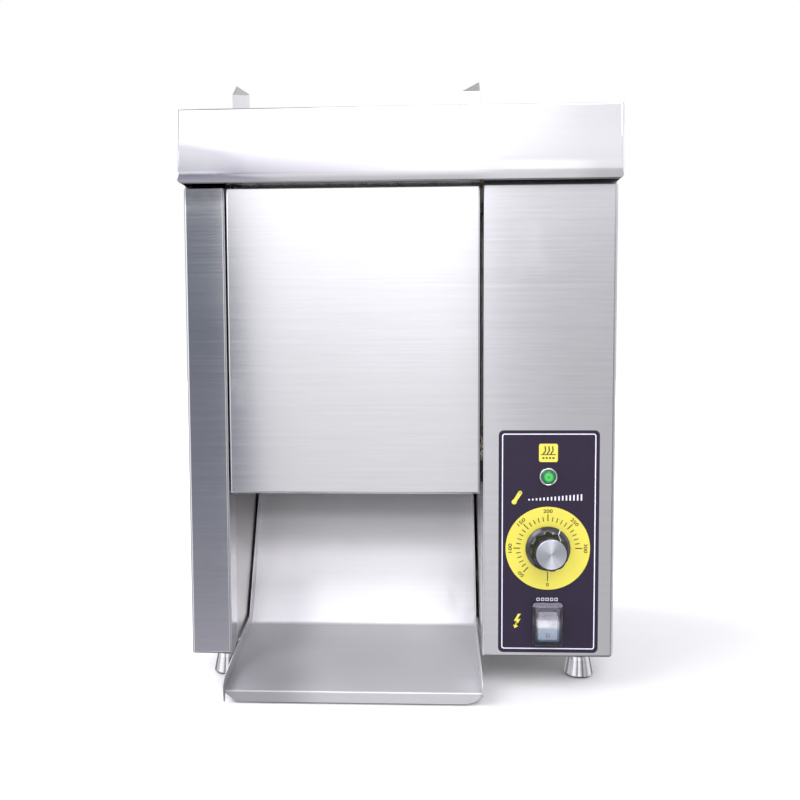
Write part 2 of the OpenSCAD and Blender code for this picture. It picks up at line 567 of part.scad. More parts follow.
module motor_bracket() color(dark_steel) difference() {
  union() {
    box([motor_x - 2, motor_d - 36, drive_z - 36], [motor_x, motor_d + 36, drive_z + 36]);
    for (y = [-30, 30], z = [-30, 30]) rod_x(wall_r + wall_t, motor_x - 1, motor_d + y, drive_z + z, 4);
  }
  rod_x(motor_x - 5, motor_x + 5, motor_d, drive_z, 12);
}
module gear_motor() color([0.65, 0.66, 0.68]) difference() {
  union() {
    rod_x(motor_x, motor_x + 22, motor_d, drive_z, 30);
    rod_x(motor_x + 22, motor_x + 56, motor_d, drive_z, 28);
    rod_x(motor_x + 56, motor_x + 58, motor_d, drive_z, 22);
    rod_x(motor_x - 4, motor_x, motor_d, drive_z, 8);
    box([motor_x + 26, motor_d - 10, drive_z - 33], [motor_x + 46, motor_d + 10, drive_z - 27]);
  }
  rod_x(motor_x - 10, motor_x + 12, motor_d, drive_z, 4.06);
}
module motor_shaft() color([0.7, 0.7, 0.72]) rod_x(gear_x - 3, motor_x + 11, motor_d, drive_z, 4);

// ---------- cooling and supply ----------
module fan_frame() color([0.12, 0.12, 0.13]) translate([fan_x, 0, fan_z]) difference() {
  along_y(body_d - 25, body_d - 0.2) rplate(-40, -40, 40, 40, [4, 4, 4, 4]);
  difference() {
    rod_y(body_d - 26, body_d + 1, 0, 0, 38);
    rod_y(body_d - 25, body_d - 20, 0, 0, 14);
    for (a = [45, 135]) rotate([0, a, 0]) box([-39, body_d - 25, -2.5], [39, body_d - 21, 2.5]);
  }
  rod_y(body_d - 30, body_d - 10, 0, 0, 2.05);
  for (x = [-35.8, 35.8], z = [-35.8, 35.8]) rod_y(body_d - 30, body_d + 5, x, z, 2.2);
}
module fan_rotor() color([0.16, 0.16, 0.17]) translate([fan_x, 0, fan_z]) {
  rod_y(body_d - 19, body_d - 3, 0, 0, 15);
  rod_y(body_d - 24, body_d - 18.9, 0, 0, 2);
  for (i = [0 : 6]) rotate([0, 360 * i / 7, 0]) translate([14, body_d - 11, 0]) rotate([35, 0, 0])
    box([0, -1, -9], [21.5, 1, 9]);
}
module fan_guard() color([0.8, 0.8, 0.82]) translate([fan_x, 0, fan_z]) {
  for (r = [10, 19, 28, 37]) difference() {
    rod_y(body_d + sheet + 1.4, body_d + sheet + 3.4, 0, 0, r + 1);
    rod_y(body_d, body_d + 10, 0, 0, r - 1);
  }
  for (a = [45, 135]) rotate([0, a, 0]) {
    box([-52, body_d + sheet, -1.5], [52, body_d + sheet + 1.5, 1.5]);
  }
}
module terminal_block() color([0.9, 0.88, 0.8]) difference() {
  box([100, 248, base_z + 2 * sheet], [172, 270, base_z + 20]);
  for (i = [0 : 4]) box([102 + 14 * i, 247, base_z + 9], [114 + 14 * i, 254, base_z + 21]);
  for (i = [0 : 4]) box([102 + 14 * i, 264, base_z + 9], [114 + 14 * i, 271, base_z + 21]);
  for (i = [0 : 4]) translate([108 + 14 * i, 259, base_z + 12]) cylinder(h = 20, r = 3);
}
module cable_gland() color([0.1, 0.1, 0.11]) translate([fan_x, 0, gland_z]) difference() {
  union() {
    rod_y(body_d - 9, body_d + sheet, 0, 0, 9.8);
    translate([0, body_d - 0.1, 0]) rotate([90, 0, 0]) cylinder(h = 5, r = 13.5, $fn = 6);
    translate([0, body_d + sheet + 6, 0]) rotate([90, 0, 0]) cylinder(h = 6, r = 13.5, $fn = 6);
    rod_y(body_d + sheet + 6, body_d + sheet + 17, 0, 0, 11.4);
    rod_y(body_d + sheet + 17, body_d + sheet + 22, 0, 0, 8, 11.4);
  }
  rod_y(body_d - 20, body_d + 40, 0, 0, 4.6);
}

seat() base_pan();
seat() left_panel();
seat() control_cabinet();
seat() left_inner_wall();
seat() right_inner_wall();
seat() rear_cover();
seat() top_cap();
seat() foot_pads();
seat() foot_studs();
seat() front_cover();
seat() cover_studs();
seat() cover_catches();
seat() chute();
seat() chute_stop_bar();
seat() bun_feeder();
seat() platen();
seat() release_sheet();
seat() platen_brackets();
seat() heater_rods();
seat() heater_insulators();
seat() thermostat_probe();
seat() thermostat_body();
seat() thermostat_shaft();
seat() knob();
seat() knob_cap();
seat() control_overlay();
seat() dial_plate();
seat() lamp_bezel();
seat() lamp_lens();
seat() lamp_nut();
seat() switch_body();
seat() switch_rocker();
seat() switch_hood();
seat() belt(front_d);  // front_belt
seat() belt(rear_d);  // rear_belt
seat() shaft(front_d, drive_z, gear_x + 12);  // front_drive_shaft
seat() roller(front_d, drive_z);  // front_drive_roller
seat() shaft(front_d, idler_z, wall_r + 6);  // front_idler_shaft
seat() roller(front_d, idler_z);  // front_idler_roller
seat() shaft(rear_d, drive_z, gear_x + 12);  // rear_drive_shaft
seat() roller(rear_d, drive_z);  // rear_drive_roller
seat() shaft(rear_d, idler_z, wall_r + 6);  // rear_idler_shaft
seat() roller(rear_d, idler_z);  // rear_idler_roller
seat() pressure_plate(front_d, 1);  // front_pressure_plate
seat() pressure_plate(rear_d, -1);  // rear_pressure_plate
seat() shaft_bushes();
seat() gear(front_d, 0, 5.03);  // front_gear
seat() gear(motor_d, 9, 4.03, [0.7, 0.7, 0.72]);  // motor_gear
seat() gear(front_d + 2 * pitch_d, 0, 4.06);  // idler_gear
seat() gear(rear_d, 9, 5.03);  // rear_gear
seat() idler_axle();
seat() gear_motor();
seat() motor_shaft();
seat() motor_bracket();
seat() fan_frame();
seat() fan_rotor();
seat() fan_guard();
seat() terminal_block();
seat() cable_gland();
seat() case_screws();
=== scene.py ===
import bpy, bmesh, math, json, random
from mathutils import Vector, Matrix

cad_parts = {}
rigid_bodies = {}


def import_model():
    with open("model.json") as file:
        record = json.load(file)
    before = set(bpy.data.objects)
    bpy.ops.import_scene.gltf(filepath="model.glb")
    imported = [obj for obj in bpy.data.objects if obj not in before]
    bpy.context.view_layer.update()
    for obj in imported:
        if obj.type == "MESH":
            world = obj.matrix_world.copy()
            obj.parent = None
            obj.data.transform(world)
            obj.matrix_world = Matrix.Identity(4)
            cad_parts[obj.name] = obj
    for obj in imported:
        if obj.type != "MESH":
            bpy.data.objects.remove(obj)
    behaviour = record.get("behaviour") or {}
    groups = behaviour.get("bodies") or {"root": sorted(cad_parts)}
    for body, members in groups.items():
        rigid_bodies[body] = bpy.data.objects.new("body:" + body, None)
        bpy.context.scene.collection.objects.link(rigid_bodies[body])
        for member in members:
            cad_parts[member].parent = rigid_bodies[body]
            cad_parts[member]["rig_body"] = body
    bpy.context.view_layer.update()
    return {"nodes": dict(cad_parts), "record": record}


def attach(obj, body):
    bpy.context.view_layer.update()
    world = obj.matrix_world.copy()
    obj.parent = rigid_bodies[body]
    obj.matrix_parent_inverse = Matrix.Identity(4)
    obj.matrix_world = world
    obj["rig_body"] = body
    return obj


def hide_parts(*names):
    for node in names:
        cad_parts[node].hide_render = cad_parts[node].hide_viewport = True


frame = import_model()
NODE = frame["nodes"]
SLOT_OF = {s["node"]: s["material_slot"] for s in frame["record"]["subparts"]}
MID = 141.1           # depth (mm behind the casing's front face) that lies on Y = 0
random.seed(7)
DONE = set()          # CAD nodes that already have their finished piece


def P(x, d, z):
    """A point from X, depth behind the front face and Z, in mm."""
    return Vector((x / 1000.0, (d - MID) / 1000.0, z / 1000.0))


# ------------------------------------------------------------------ camera
def make_camera():
    yaw, pitch, roll = 0.03837, 0.06123, -0.00391
    fwd = Vector((-math.sin(yaw) * math.cos(pitch), math.cos(yaw) * math.cos(pitch), -math.sin(pitch)))
    right = Vector((math.cos(yaw), math.sin(yaw), 0))
    up = right.cross(fwd)
    r2 = math.cos(roll) * right + math.sin(roll) * up
    u2 = -math.sin(roll) * right + math.cos(roll) * up
    cam = bpy.data.cameras.new("camera")
    cam.sensor_width = 36
    cam.lens = 36 * 796.26 / 800
    cam.clip_start, cam.clip_end = 0.01, 60
    ob = bpy.data.objects.new("camera", cam)
    m = Matrix((r2, u2, -fwd)).transposed().to_4x4()
    m.translation = P(31.27, -801.14, 347.86)
    ob.matrix_world = m
    bpy.context.scene.collection.objects.link(ob)
    bpy.context.scene.camera = ob


make_camera()


# ------------------------------------------------------------------ node helper
class Tree:
    def __init__(self, nt):
        self.nt = nt
        nt.nodes.clear()

    def add(self, kind, inputs=None, **props):
        n = self.nt.nodes.new(kind)
        for k, v in props.items():
            setattr(n, k, v)
        for k, v in (inputs or {}).items():
            self.put(n, k, v)
        return n

    def put(self, n, key, v):
        s = n.inputs[key]
        if isinstance(v, bpy.types.NodeSocket):
            self.nt.links.new(v, s)
        elif isinstance(v, bpy.types.Node):
            self.nt.links.new(v.outputs[0], s)
        else:
            s.default_value = v

    def math(self, op, a, b=0.0, c=None, clamp=False):
        n = self.nt.nodes.new("ShaderNodeMath")
        n.operation = op
        n.use_clamp = clamp
        self.put(n, 0, a)
        self.put(n, 1, b)
        if c is not None:
            self.put(n, 2, c)
        return n.outputs[0]

    def vmath(self, op, a, b=None):
        n = self.nt.nodes.new("ShaderNodeVectorMath")
        n.operation = op
        self.put(n, 0, a)
        if b is not None:
            self.put(n, 1, b)
        return n.outputs[1] if op in ("LENGTH", "DOT_PRODUCT", "DISTANCE") else n.outputs[0]

    def ramp(self, fac, stops, interp="LINEAR"):
        n = self.nt.nodes.new("ShaderNodeValToRGB")
        self.put(n, 0, fac)
        cr = n.color_ramp
        cr.interpolation = interp
        while len(cr.elements) > 1:
            cr.elements.remove(cr.elements[-1])
        for i, (p, c) in enumerate(stops):
            e = cr.elements[0] if i == 0 else cr.elements.new(p)
            e.position = p
            c = (c, c, c) if isinstance(c, (int, float)) else c
            e.color = (*c[:3], 1)
        return n.outputs[0]

    def mix(self, fac, a, b, blend="MIX"):
        n = self.nt.nodes.new("ShaderNodeMix")
        n.data_type = "RGBA"
        n.blend_type = blend
        self.put(n, 0, fac)
        for k, v in ((6, a), (7, b)):
            if isinstance(v, (tuple, list)):
                v = (*v[:3], 1)
            self.put(n, k, v)
        return n.outputs[2]

    def vmix(self, fac, a, b):
        n = self.nt.nodes.new("ShaderNodeMix")
        n.data_type = "VECTOR"
        self.put(n, 0, fac)
        self.put(n, 4, a)
        self.put(n, 5, b)
        return n.outputs[1]

    def maprange(self, v, a, b, c, d, smooth=False):
        n = self.nt.nodes.new("ShaderNodeMapRange")
        n.interpolation_type = "SMOOTHSTEP" if smooth else "LINEAR"
        self.put(n, 0, v)
        for i, x in enumerate((a, b, c, d)):
            n.inputs[1 + i].default_value = x
        return n.outputs[0]

    def noise(self, scale, detail=2.0, rough=0.5, size=1.0, where="Object", shift=(0, 0, 0)):
        co = self.add("ShaderNodeTexCoord")
        mp = self.add("ShaderNodeMapping", {"Vector": co.outputs[where], "Scale": scale, "Location": shift})
        return self.add("ShaderNodeTexNoise", {"Vector": mp.outputs[0], "Scale": size, "Detail": detail, "Roughness": rough}).outputs[0]

    def shade(self, color, amount, value):
        """color made lighter or darker by value (about 0, times amount)"""
        v = self.math("ADD", 1.0, self.math("MULTIPLY", value, amount))
        return self.mix(1.0, color, self.add("ShaderNodeCombineColor", {0: v, 1: v, 2: v}).outputs[0], "MULTIPLY")


def material(name, **sockets):
    m = bpy.data.materials.new(name)
    m.use_nodes = True
    t = Tree(m.node_tree)
    out = t.add("ShaderNodeOutputMaterial")
    b = t.add("ShaderNodeBsdfPrincipled")
    t.nt.links.new(b.outputs[0], out.inputs[0])
    for k, v in sockets.items():
        t.put(b, k.replace("_", " "), v)
    return m, t, b


def steel(name, color=(0.66, 0.655, 0.685), rough=0.22, aniso=0.85, grain=0.5, cloud=0.5, marks=0.3, scale=1.0, heat=0.0, metal=1.0):
    """Brushed sheet. The grain runs level on upright faces and from side to side on level ones."""
    m, t, b = material(name)
    nrm = t.add("ShaderNodeNewGeometry").outputs["Normal"]
    nz = t.math("ABSOLUTE", t.add("ShaderNodeSeparateXYZ", {0: nrm}).outputs[2])
    flat = t.maprange(nz, 0.6, 0.8, 0.0, 1.0)
    s = scale
    fine = t.mix(flat, t.noise((26 * s, 26 * s, 2300 * s), 3, 0.6), t.noise((26 * s, 2300 * s, 26 * s), 3, 0.6))
    mid = t.mix(flat, t.noise((5 * s, 5 * s, 420 * s), 2, 0.6), t.noise((5 * s, 420 * s, 5 * s), 2, 0.6))
    both = t.math("ADD", t.math("MULTIPLY", fine, 0.6), t.math("MULTIPLY", mid, 0.4))
    g = t.math("SUBTRACT", both, 0.5)
    cl = t.math("SUBTRACT", t.noise((7, 7, 9), 3, 0.55), 0.5)
    col = t.shade(color, 1.0, t.math("ADD", t.math("MULTIPLY", g, 0.42 * grain), t.math("MULTIPLY", cl, 0.12 * cloud)))
    r = t.math("ADD", rough, t.math("ADD", t.math("MULTIPLY", g, 0.22 * grain), t.math("MULTIPLY", cl, 0.12 * cloud)))
    if marks:
        # faint wipe marks, which only change the gloss
        sm = t.maprange(t.noise((16, 16, 10), 5, 0.7), 0.56, 0.70, 0.0, 1.0, True)
        r = t.math("ADD", r, t.math("MULTIPLY", sm, 0.10 * marks))
        # hairline scratches at a slant
        sc = t.noise((900, 900, 14), 1, 0.5, shift=(3, 1, 7))
        col = t.mix(t.math("MULTIPLY", t.maprange(sc, 0.70, 0.74, 0.0, 1.0), 0.10 * marks), col, (0.9, 0.9, 0.92))
    if heat:
        # straw to brown tint where the sheet gets hot
        hz = t.noise((9, 9, 6), 3, 0.6, shift=(5, 5, 5))
        col = t.mix(t.math("MULTIPLY", t.maprange(hz, 0.35, 0.7, 0.15, 1.0), heat), col, (0.50, 0.36, 0.20))
    t.put(b, "Base Color", col)
    t.put(b, "Roughness", t.math("MAXIMUM", r, 0.05))
    b.inputs["Metallic"].default_value = metal
    b.inputs["Anisotropic"].default_value = aniso
    b.inputs["Anisotropic Rotation"].default_value = 0.25
    side = t.vmath("NORMALIZE", t.vmath("ADD", t.vmath("CROSS_PRODUCT", nrm, (0, 0, 1)), (1e-4, 0, 0)))
    t.put(b, "Tangent", t.vmix(flat, side, (1, 0, 0)))
    t.put(b, "Normal", t.add("ShaderNodeBump", {"Height": both, "Strength": 0.10 * grain, "Distance": 0.00006}).outputs[0])
    return m


def plain_metal(name, color, rough, cells=0.0, cell_scale=90.0, fine=0.5, fine_scale=(600, 600, 600), cloud=0.3, tint=None, bump=0.1, specks=0.0):
    """Metal with an even finish: plating spangle, cast or ground texture, stains."""
    m, t, b = material(name)
    co = t.add("ShaderNodeTexCoord").outputs["Object"]
    f = t.math("SUBTRACT", t.noise(fine_scale, 3, 0.6), 0.5)
    c = t.math("SUBTRACT", t.noise((14, 14, 14), 4, 0.6), 0.5)
    v = t.math("ADD", t.math("MULTIPLY", f, 0.35 * fine), t.math("MULTIPLY", c, 0.5 * cloud))
    if cells:
        vo = t.add("ShaderNodeTexVoronoi", {"Vector": co, "Scale": cell_scale})
        cv = t.math("SUBTRACT", t.add("ShaderNodeSeparateColor", {0: vo.outputs["Color"]}).outputs[0], 0.5)
        v = t.math("ADD", v, t.math("MULTIPLY", cv, cells))
    col = t.shade(color, 1.0, v)
    if tint:
        col = t.mix(t.maprange(t.noise((20, 20, 20), 4, 0.6, shift=(2, 9, 4)), 0.42, 0.68, 0.0, 0.8), col, tint)
    if specks:
        sp = t.add("ShaderNodeTexVoronoi", {"Vector": co, "Scale": 1500.0})
        col = t.mix(t.math("MULTIPLY", t.maprange(sp.outputs["Distance"], 0.12, 0.22, 1.0, 0.0), specks), col, (0.06, 0.05, 0.04))
    t.put(b, "Base Color", col)
    t.put(b, "Roughness", t.math("MAXIMUM", t.math("ADD", rough, t.math("ADD", t.math("MULTIPLY", f, 0.2), t.math("MULTIPLY", c, 0.25))), 0.05))
    b.inputs["Metallic"].default_value = 1.0
    t.put(b, "Normal", t.add("ShaderNodeBump", {"Height": f, "Strength": bump, "Distance": 0.0001}).outputs[0])
    return m


def turned(name, color, rough, axis="X", centre=(0, 0, 0), aniso=0.6, ring=2600.0, bump=0.12, stain=0.3):
    """Turned or ground round stock: fine rings about the axis."""
    m, t, b = material(name)
    sc = {"X": (ring, 5, 5), "Y": (5, ring, 5), "Z": (5, 5, ring)}[axis]
    f = t.math("SUBTRACT", t.noise(sc, 3, 0.6), 0.5)
    c = t.math("SUBTRACT", t.noise((30, 30, 30), 4, 0.6), 0.5)
    t.put(b, "Base Color", t.shade(color, 1.0, t.math("ADD", t.math("MULTIPLY", f, 0.2), t.math("MULTIPLY", c, stain))))
    t.put(b, "Roughness", t.math("ADD", rough, t.math("ADD", t.math("MULTIPLY", f, 0.15), t.math("MULTIPLY", c, 0.2))))
    b.inputs["Metallic"].default_value = 1.0
    b.inputs["Anisotropic"].default_value = aniso
    b.inputs["Anisotropic Rotation"].default_value = 0.25
    t.put(b, "Tangent", t.add("ShaderNodeTangent", direction_type="RADIAL", axis=axis).outputs[0])
    t.put(b, "Normal", t.add("ShaderNodeBump", {"Height": f, "Strength": bump, "Distance": 0.00008}).outputs[0])
    return m


def plastic(name, color, rough, fine=0.5, fine_scale=900.0, cloud=0.3, bump=0.15, coat=0.0, dust=0.0, spec=None):
    m, t, b = material(name)
    f = t.math("SUBTRACT", t.noise((fine_scale,) * 3, 3, 0.6), 0.5)
    c = t.math("SUBTRACT", t.noise((18, 18, 18), 4, 0.6), 0.5)
    col = t.shade(color, 1.0, t.math("ADD", t.math("MULTIPLY", f, 0.5 * fine), t.math("MULTIPLY", c, 0.5 * cloud)))
    if dust:
        up = t.add("ShaderNodeSeparateXYZ", {0: t.add("ShaderNodeNewGeometry").outputs["Normal"]}).outputs[2]
        d = t.math("MULTIPLY", t.maprange(up, 0.2, 0.9, 0.0, 1.0), t.maprange(t.noise((160, 160, 160), 4, 0.6), 0.45, 0.65, 0.0, 1.0))
        col = t.mix(t.math("MULTIPLY", d, dust), col, (0.55, 0.53, 0.5))
    t.put(b, "Base Color", col)
    t.put(b, "Roughness", t.math("MAXIMUM", t.math("ADD", rough, t.math("ADD", t.math("MULTIPLY", f, 0.15 * fine), t.math("MULTIPLY", c, 0.12))), 0.04))
    if coat:
        b.inputs["Coat Weight"].default_value = coat
        b.inputs["Coat Roughness"].default_value = 0.08
    if spec is not None:
        b.inputs["Specular IOR Level"].default_value = spec
    t.put(b, "Normal", t.add("ShaderNodeBump", {"Height": f, "Strength": bump, "Distance": 0.0001}).outputs[0])
    return m


MAT = {}
MAT["stainless"] = steel("stainless_sheet", rough=0.17)
MAT["stainless_bright"] = steel("stainless_bright_sheet", (0.70, 0.695, 0.72), 0.16)
MAT["inner_sheet"] = steel("inner_sheet", (0.66, 0.65, 0.65), 0.34, 0.5, heat=0.10)
MAT["plated_steel"] = plain_metal("zinc_plated_steel", (0.62, 0.64, 0.66), 0.30, cells=0.12, cell_scale=260, tint=(0.55, 0.53, 0.44))
MAT["shaft_steel"] = turned("ground_shaft_steel", (0.55, 0.55, 0.56), 0.24)
MAT["platen_aluminium"] = plain_metal("cast_platen", (0.60, 0.60, 0.60), 0.42, cells=0.05, cell_scale=700, fine=0.9, fine_scale=(300, 300, 300), cloud=0.5, tint=(0.42, 0.36, 0.30), bump=0.4)
MAT["belt_wire"] = plain_metal("belt_wire", (0.60, 0.59, 0.58), 0.26, fine=0.6, cloud=0.6, tint=(0.40, 0.31, 0.20))
MAT["heater_sheath"] = plain_metal("oxidised_sheath", (0.26, 0.24, 0.22), 0.52, fine=0.9, cloud=0.9, tint=(0.16, 0.12, 0.10), bump=0.3)
MAT["bronze"] = plain_metal("sintered_bronze", (0.62, 0.44, 0.24), 0.38, fine=0.8, cloud=0.5, tint=(0.40, 0.25, 0.13), specks=0.6, bump=0.3)
MAT["copper"] = plain_metal("drawn_copper", (0.78, 0.42, 0.28), 0.27, fine=0.6, cloud=0.6, tint=(0.45, 0.22, 0.15))
MAT["zinc_case"] = plain_metal("zinc_case", (0.66, 0.66, 0.64), 0.34, cells=0.2, cell_scale=120, cloud=0.4)
MAT["gear_steel"] = plain_metal("gear_steel", (0.48, 0.48, 0.48), 0.34, fine=0.8, cloud=0.5, tint=(0.28, 0.24, 0.18), bump=0.25)
MAT["chrome"] = plain_metal("bright_chrome", (0.82, 0.83, 0.85), 0.07, fine=0.10, cloud=0.10, bump=0.02)
MAT["ceramic"] = plastic("steatite", (0.86, 0.82, 0.74), 0.45, fine=0.35, fine_scale=1400, cloud=0.3, bump=0.2)
MAT["knob_black"] = plastic("phenolic_black", (0.010, 0.010, 0.012), 0.20, fine=0.30, fine_scale=700, bump=0.03, dust=0.04, spec=1.0)


def dull_flanks(m):
    """The knob's flutes are matt, its skirt and its face are polished"""
    t = Tree.__new__(Tree)
    t.nt = m.node_tree
    b = next(n for n in t.nt.nodes if n.type == "BSDF_PRINCIPLED")
    ny = t.math("ABSOLUTE", t.add("ShaderNodeSeparateXYZ", {0: t.add("ShaderNodeNewGeometry").outputs["Normal"]}).outputs[1])
    flat = t.maprange(ny, 0.15, 0.40, 0.0, 1.0, True)
    old = b.inputs["Roughness"].links[0].from_socket
    t.put(b, "Roughness", t.math("ADD", old, t.math("MULTIPLY", t.math("SUBTRACT", 1.0, flat), 0.35)))
    t.put(b, "Specular IOR Level", t.math("ADD", 0.12, t.math("MULTIPLY", flat, 0.88)))


dull_flanks(MAT["knob_black"])
MAT["black_plastic"] = plastic("grained_black_plastic", (0.028, 0.028, 0.030), 0.42, fine=0.7, fine_scale=1300, bump=0.35, dust=0.25)
MAT["panel_film"] = plastic("dark_polyester_film", (0.024, 0.017, 0.036), 0.36, fine=0.6, fine_scale=2200, cloud=0.5, bump=0.10, spec=0.22)
MAT["dial_yellow"] = plastic("printed_yellow", (0.69, 0.612, 0.078), 0.36, fine=0.25, fine_scale=2200, cloud=0.2, bump=0.06)
MAT["rocker_grey"] = plastic("rocker_grey", (0.34, 0.35, 0.37), 0.30, fine=0.25, fine_scale=1600, bump=0.08)
MAT["motor_grey"] = plastic("enamelled_grey", (0.30, 0.31, 0.32), 0.34, fine=0.4, fine_scale=420, cloud=0.5, bump=0.35, coat=0.2)
MAT["terminal_cream"] = plastic("cream_polyamide", (0.80, 0.76, 0.62), 0.40, fine=0.4, fine_scale=1200, bump=0.15)
MAT["spun_aluminium"] = turned("spun_cap", (0.80, 0.80, 0.83), 0.22, axis="Y", aniso=0.9, ring=20.0, bump=0.0, stain=0.05)
TRAY = steel("tray_sheet", (0.76, 0.755, 0.775), 0.56, 0.35, grain=0.45, cloud=0.8, marks=0.8, metal=0.82)
POST = steel("post_sheet", rough=0.11, aniso=0.6)
CAP = steel("cap_sheet", (0.70, 0.695, 0.72), 0.125, 0.7)


def worn(m, mask, tint):
    """Paints light and shade into the colour: takes the mask (a function of the tree, the position and the normal) and
    multiplies the colour by the tint there
    """
    t = Tree.__new__(Tree)
    t.nt = m.node_tree
    b = next(n for n in t.nt.nodes if n.type == "BSDF_PRINCIPLED")
    g = t.add("ShaderNodeNewGeometry")
    pos = t.add("ShaderNodeSeparateXYZ", {0: g.outputs["Position"]}).outputs
    nrm = t.add("ShaderNodeSeparateXYZ", {0: g.outputs["Normal"]}).outputs
    old = b.inputs["Base Color"].links[0].from_socket
    t.put(b, "Base Color", t.mix(mask(t, pos, nrm), old, t.mix(1.0, old, tint, "MULTIPLY")))


# painted shade: the chute's lip is darker on its front faces
worn(TRAY, lambda t, p, n: t.math("MULTIPLY", t.maprange(n[1], -0.78, -0.93, 0.0, 1.0, True), t.maprange(p[2], 0.0128, 0.0108, 0.0, 1.0, True)), (0.66, 0.66, 0.67))
# painted highlight higher up the chute, painted shade at the left and in front
worn(TRAY, lambda t, p, n: t.math("MULTIPLY", t.maprange(p[2], 0.085, 0.115, 0.0, 1.0, True), t.maprange(p[2], 0.160, 0.145, 0.0, 1.0, True)), (1.24, 1.24, 1.24))
# painted shade on the lower chute at the left
worn(TRAY, lambda t, p, n: t.math("MULTIPLY", t.maprange(p[2], 0.095, 0.075, 0.0, 1.0, True), t.maprange(p[0], -0.085, -0.130, 0.0, 1.0, True)), (0.84, 0.84, 0.85))
# painted shade low down in front
worn(TRAY, lambda t, p, n: t.maprange(p[2], 0.036, 0.018, 0.0, 1.0, True), (0.88, 0.88, 0.88))
# more painted shade low down at the left
worn(TRAY, lambda t, p, n: t.math("MULTIPLY", t.maprange(p[2], 0.026, 0.015, 0.0, 1.0, True), t.maprange(p[0], -0.060, -0.120, 0.0, 1.0, True)), (0.74, 0.74, 0.745))
# painted shade: the cap's skirt is darker towards its lower edge, most of all on the left
def skirt(t, p, n):
    low = t.maprange(t.math("ADD", p[2], t.math("MULTIPLY", p[0], 0.062)), 0.545, 0.512, 0.0, 1.0, True)
    low = t.math("MULTIPLY", t.math("MULTIPLY", low, t.maprange(n[1], -0.5, -0.8, 0.0, 1.0)), t.maprange(p[0], -0.20, 0.16, 1.0, 0.3))
    low = t.math("MULTIPLY", low, t.maprange(p[2], 0.5198, 0.5228, 0.0, 1.0, True))
    return t.math("MULTIPLY", low, t.maprange(p[0], -0.19, -0.152, 0.0, 1.0, True))


worn(CAP, skirt, (0.50, 0.485, 0.545))
# painted highlight: a narrow lighter band low on the skirt, at the left
worn(CAP, lambda t, p, n: t.math("MULTIPLY", t.math("MULTIPLY", t.maprange(p[2], 0.5248, 0.5225, 0.0, 1.0, True), t.maprange(p[2], 0.5170, 0.5200, 0.0, 1.0, True)), t.maprange(p[0], -0.14, -0.18, 0.0, 1.0, True)), (1.38, 1.35, 1.42))
# painted shade low on the skirt at the left
worn(CAP, lambda t, p, n: t.math("MULTIPLY", t.math("MULTIPLY", t.maprange(t.math("ADD", p[2], t.math("MULTIPLY", p[0], 0.18)), 0.5165, 0.5095, 0.0, 1.0, True), t.maprange(p[2], 0.5235, 0.5260, 0.0, 1.0, True)),
                                  t.math("MULTIPLY", t.maprange(p[0], -0.145, -0.185, 0.0, 1.0, True), t.maprange(n[1], -0.5, -0.8, 0.0, 1.0))), (0.78, 0.775, 0.80))
# painted highlight low on the skirt, towards the right
worn(CAP, lambda t, p, n: t.math("MULTIPLY", t.maprange(p[2], 0.534, 0.528, 0.0, 1.0, True), t.math("MULTIPLY", t.maprange(p[0], 0.05, 0.145, 0.0, 1.0, True), t.maprange(p[0], 0.165, 0.20, 1.0, 0.2, True))), (1.30, 1.30, 1.30))
# painted shade: the post is darker just under the cap
worn(POST, lambda t, p, n: t.math("MULTIPLY", t.maprange(p[2], 0.493, 0.506, 0.0, 1.0, True), t.maprange(n[1], -0.5, -0.9, 0.0, 1.0)), (0.55, 0.55, 0.565))
FEEDER = steel("feeder_sheet", (0.56, 0.555, 0.56), 0.32, 0.6, grain=0.5, cloud=0.6, marks=0.5)
PRINT_WHITE = plastic("print_white", (0.74, 0.73, 0.82), 0.40, fine=0.25, fine_scale=2600, bump=0.05)
PRINT_DARK = plastic("print_dark", (0.05, 0.045, 0.012), 0.40, fine=0.25, fine_scale=2600, bump=0.05)
RUBBER = plastic("foot_rubber", (0.03, 0.03, 0.03), 0.6, fine=0.8, fine_scale=500, bump=0.4, dust=0.3)


def make_cloth():
    """Coated glass cloth: a fine plain weave under a brown release coat."""
    m, t, b = material("coated_glass_cloth")
    co = t.add("ShaderNodeTexCoord").outputs["Object"]
    x, y, z = t.add("ShaderNodeSeparateXYZ", {0: co}).outputs
    wx = t.math("SINE", t.math("MULTIPLY", x, 2 * math.pi / 0.0009))
    wz = t.math("SINE", t.math("MULTIPLY", z, 2 * math.pi / 0.0009))
    w = t.math("MULTIPLY", wx, wz)
    c = t.math("SUBTRACT", t.noise((24, 24, 24), 4, 0.6), 0.5)
    col = t.shade((0.33, 0.20, 0.10), 1.0, t.math("ADD", t.math("MULTIPLY", w, 0.10), t.math("MULTIPLY", c, 0.9)))
    t.put(b, "Base Color", col)
    t.put(b, "Roughness", t.math("ADD", 0.36, t.math("MULTIPLY", c, 0.25)))
    t.put(b, "Normal", t.add("ShaderNodeBump", {"Height": w, "Strength": 0.25, "Distance": 0.0001}).outputs[0])
    return m


MAT["glass_cloth"] = make_cloth()


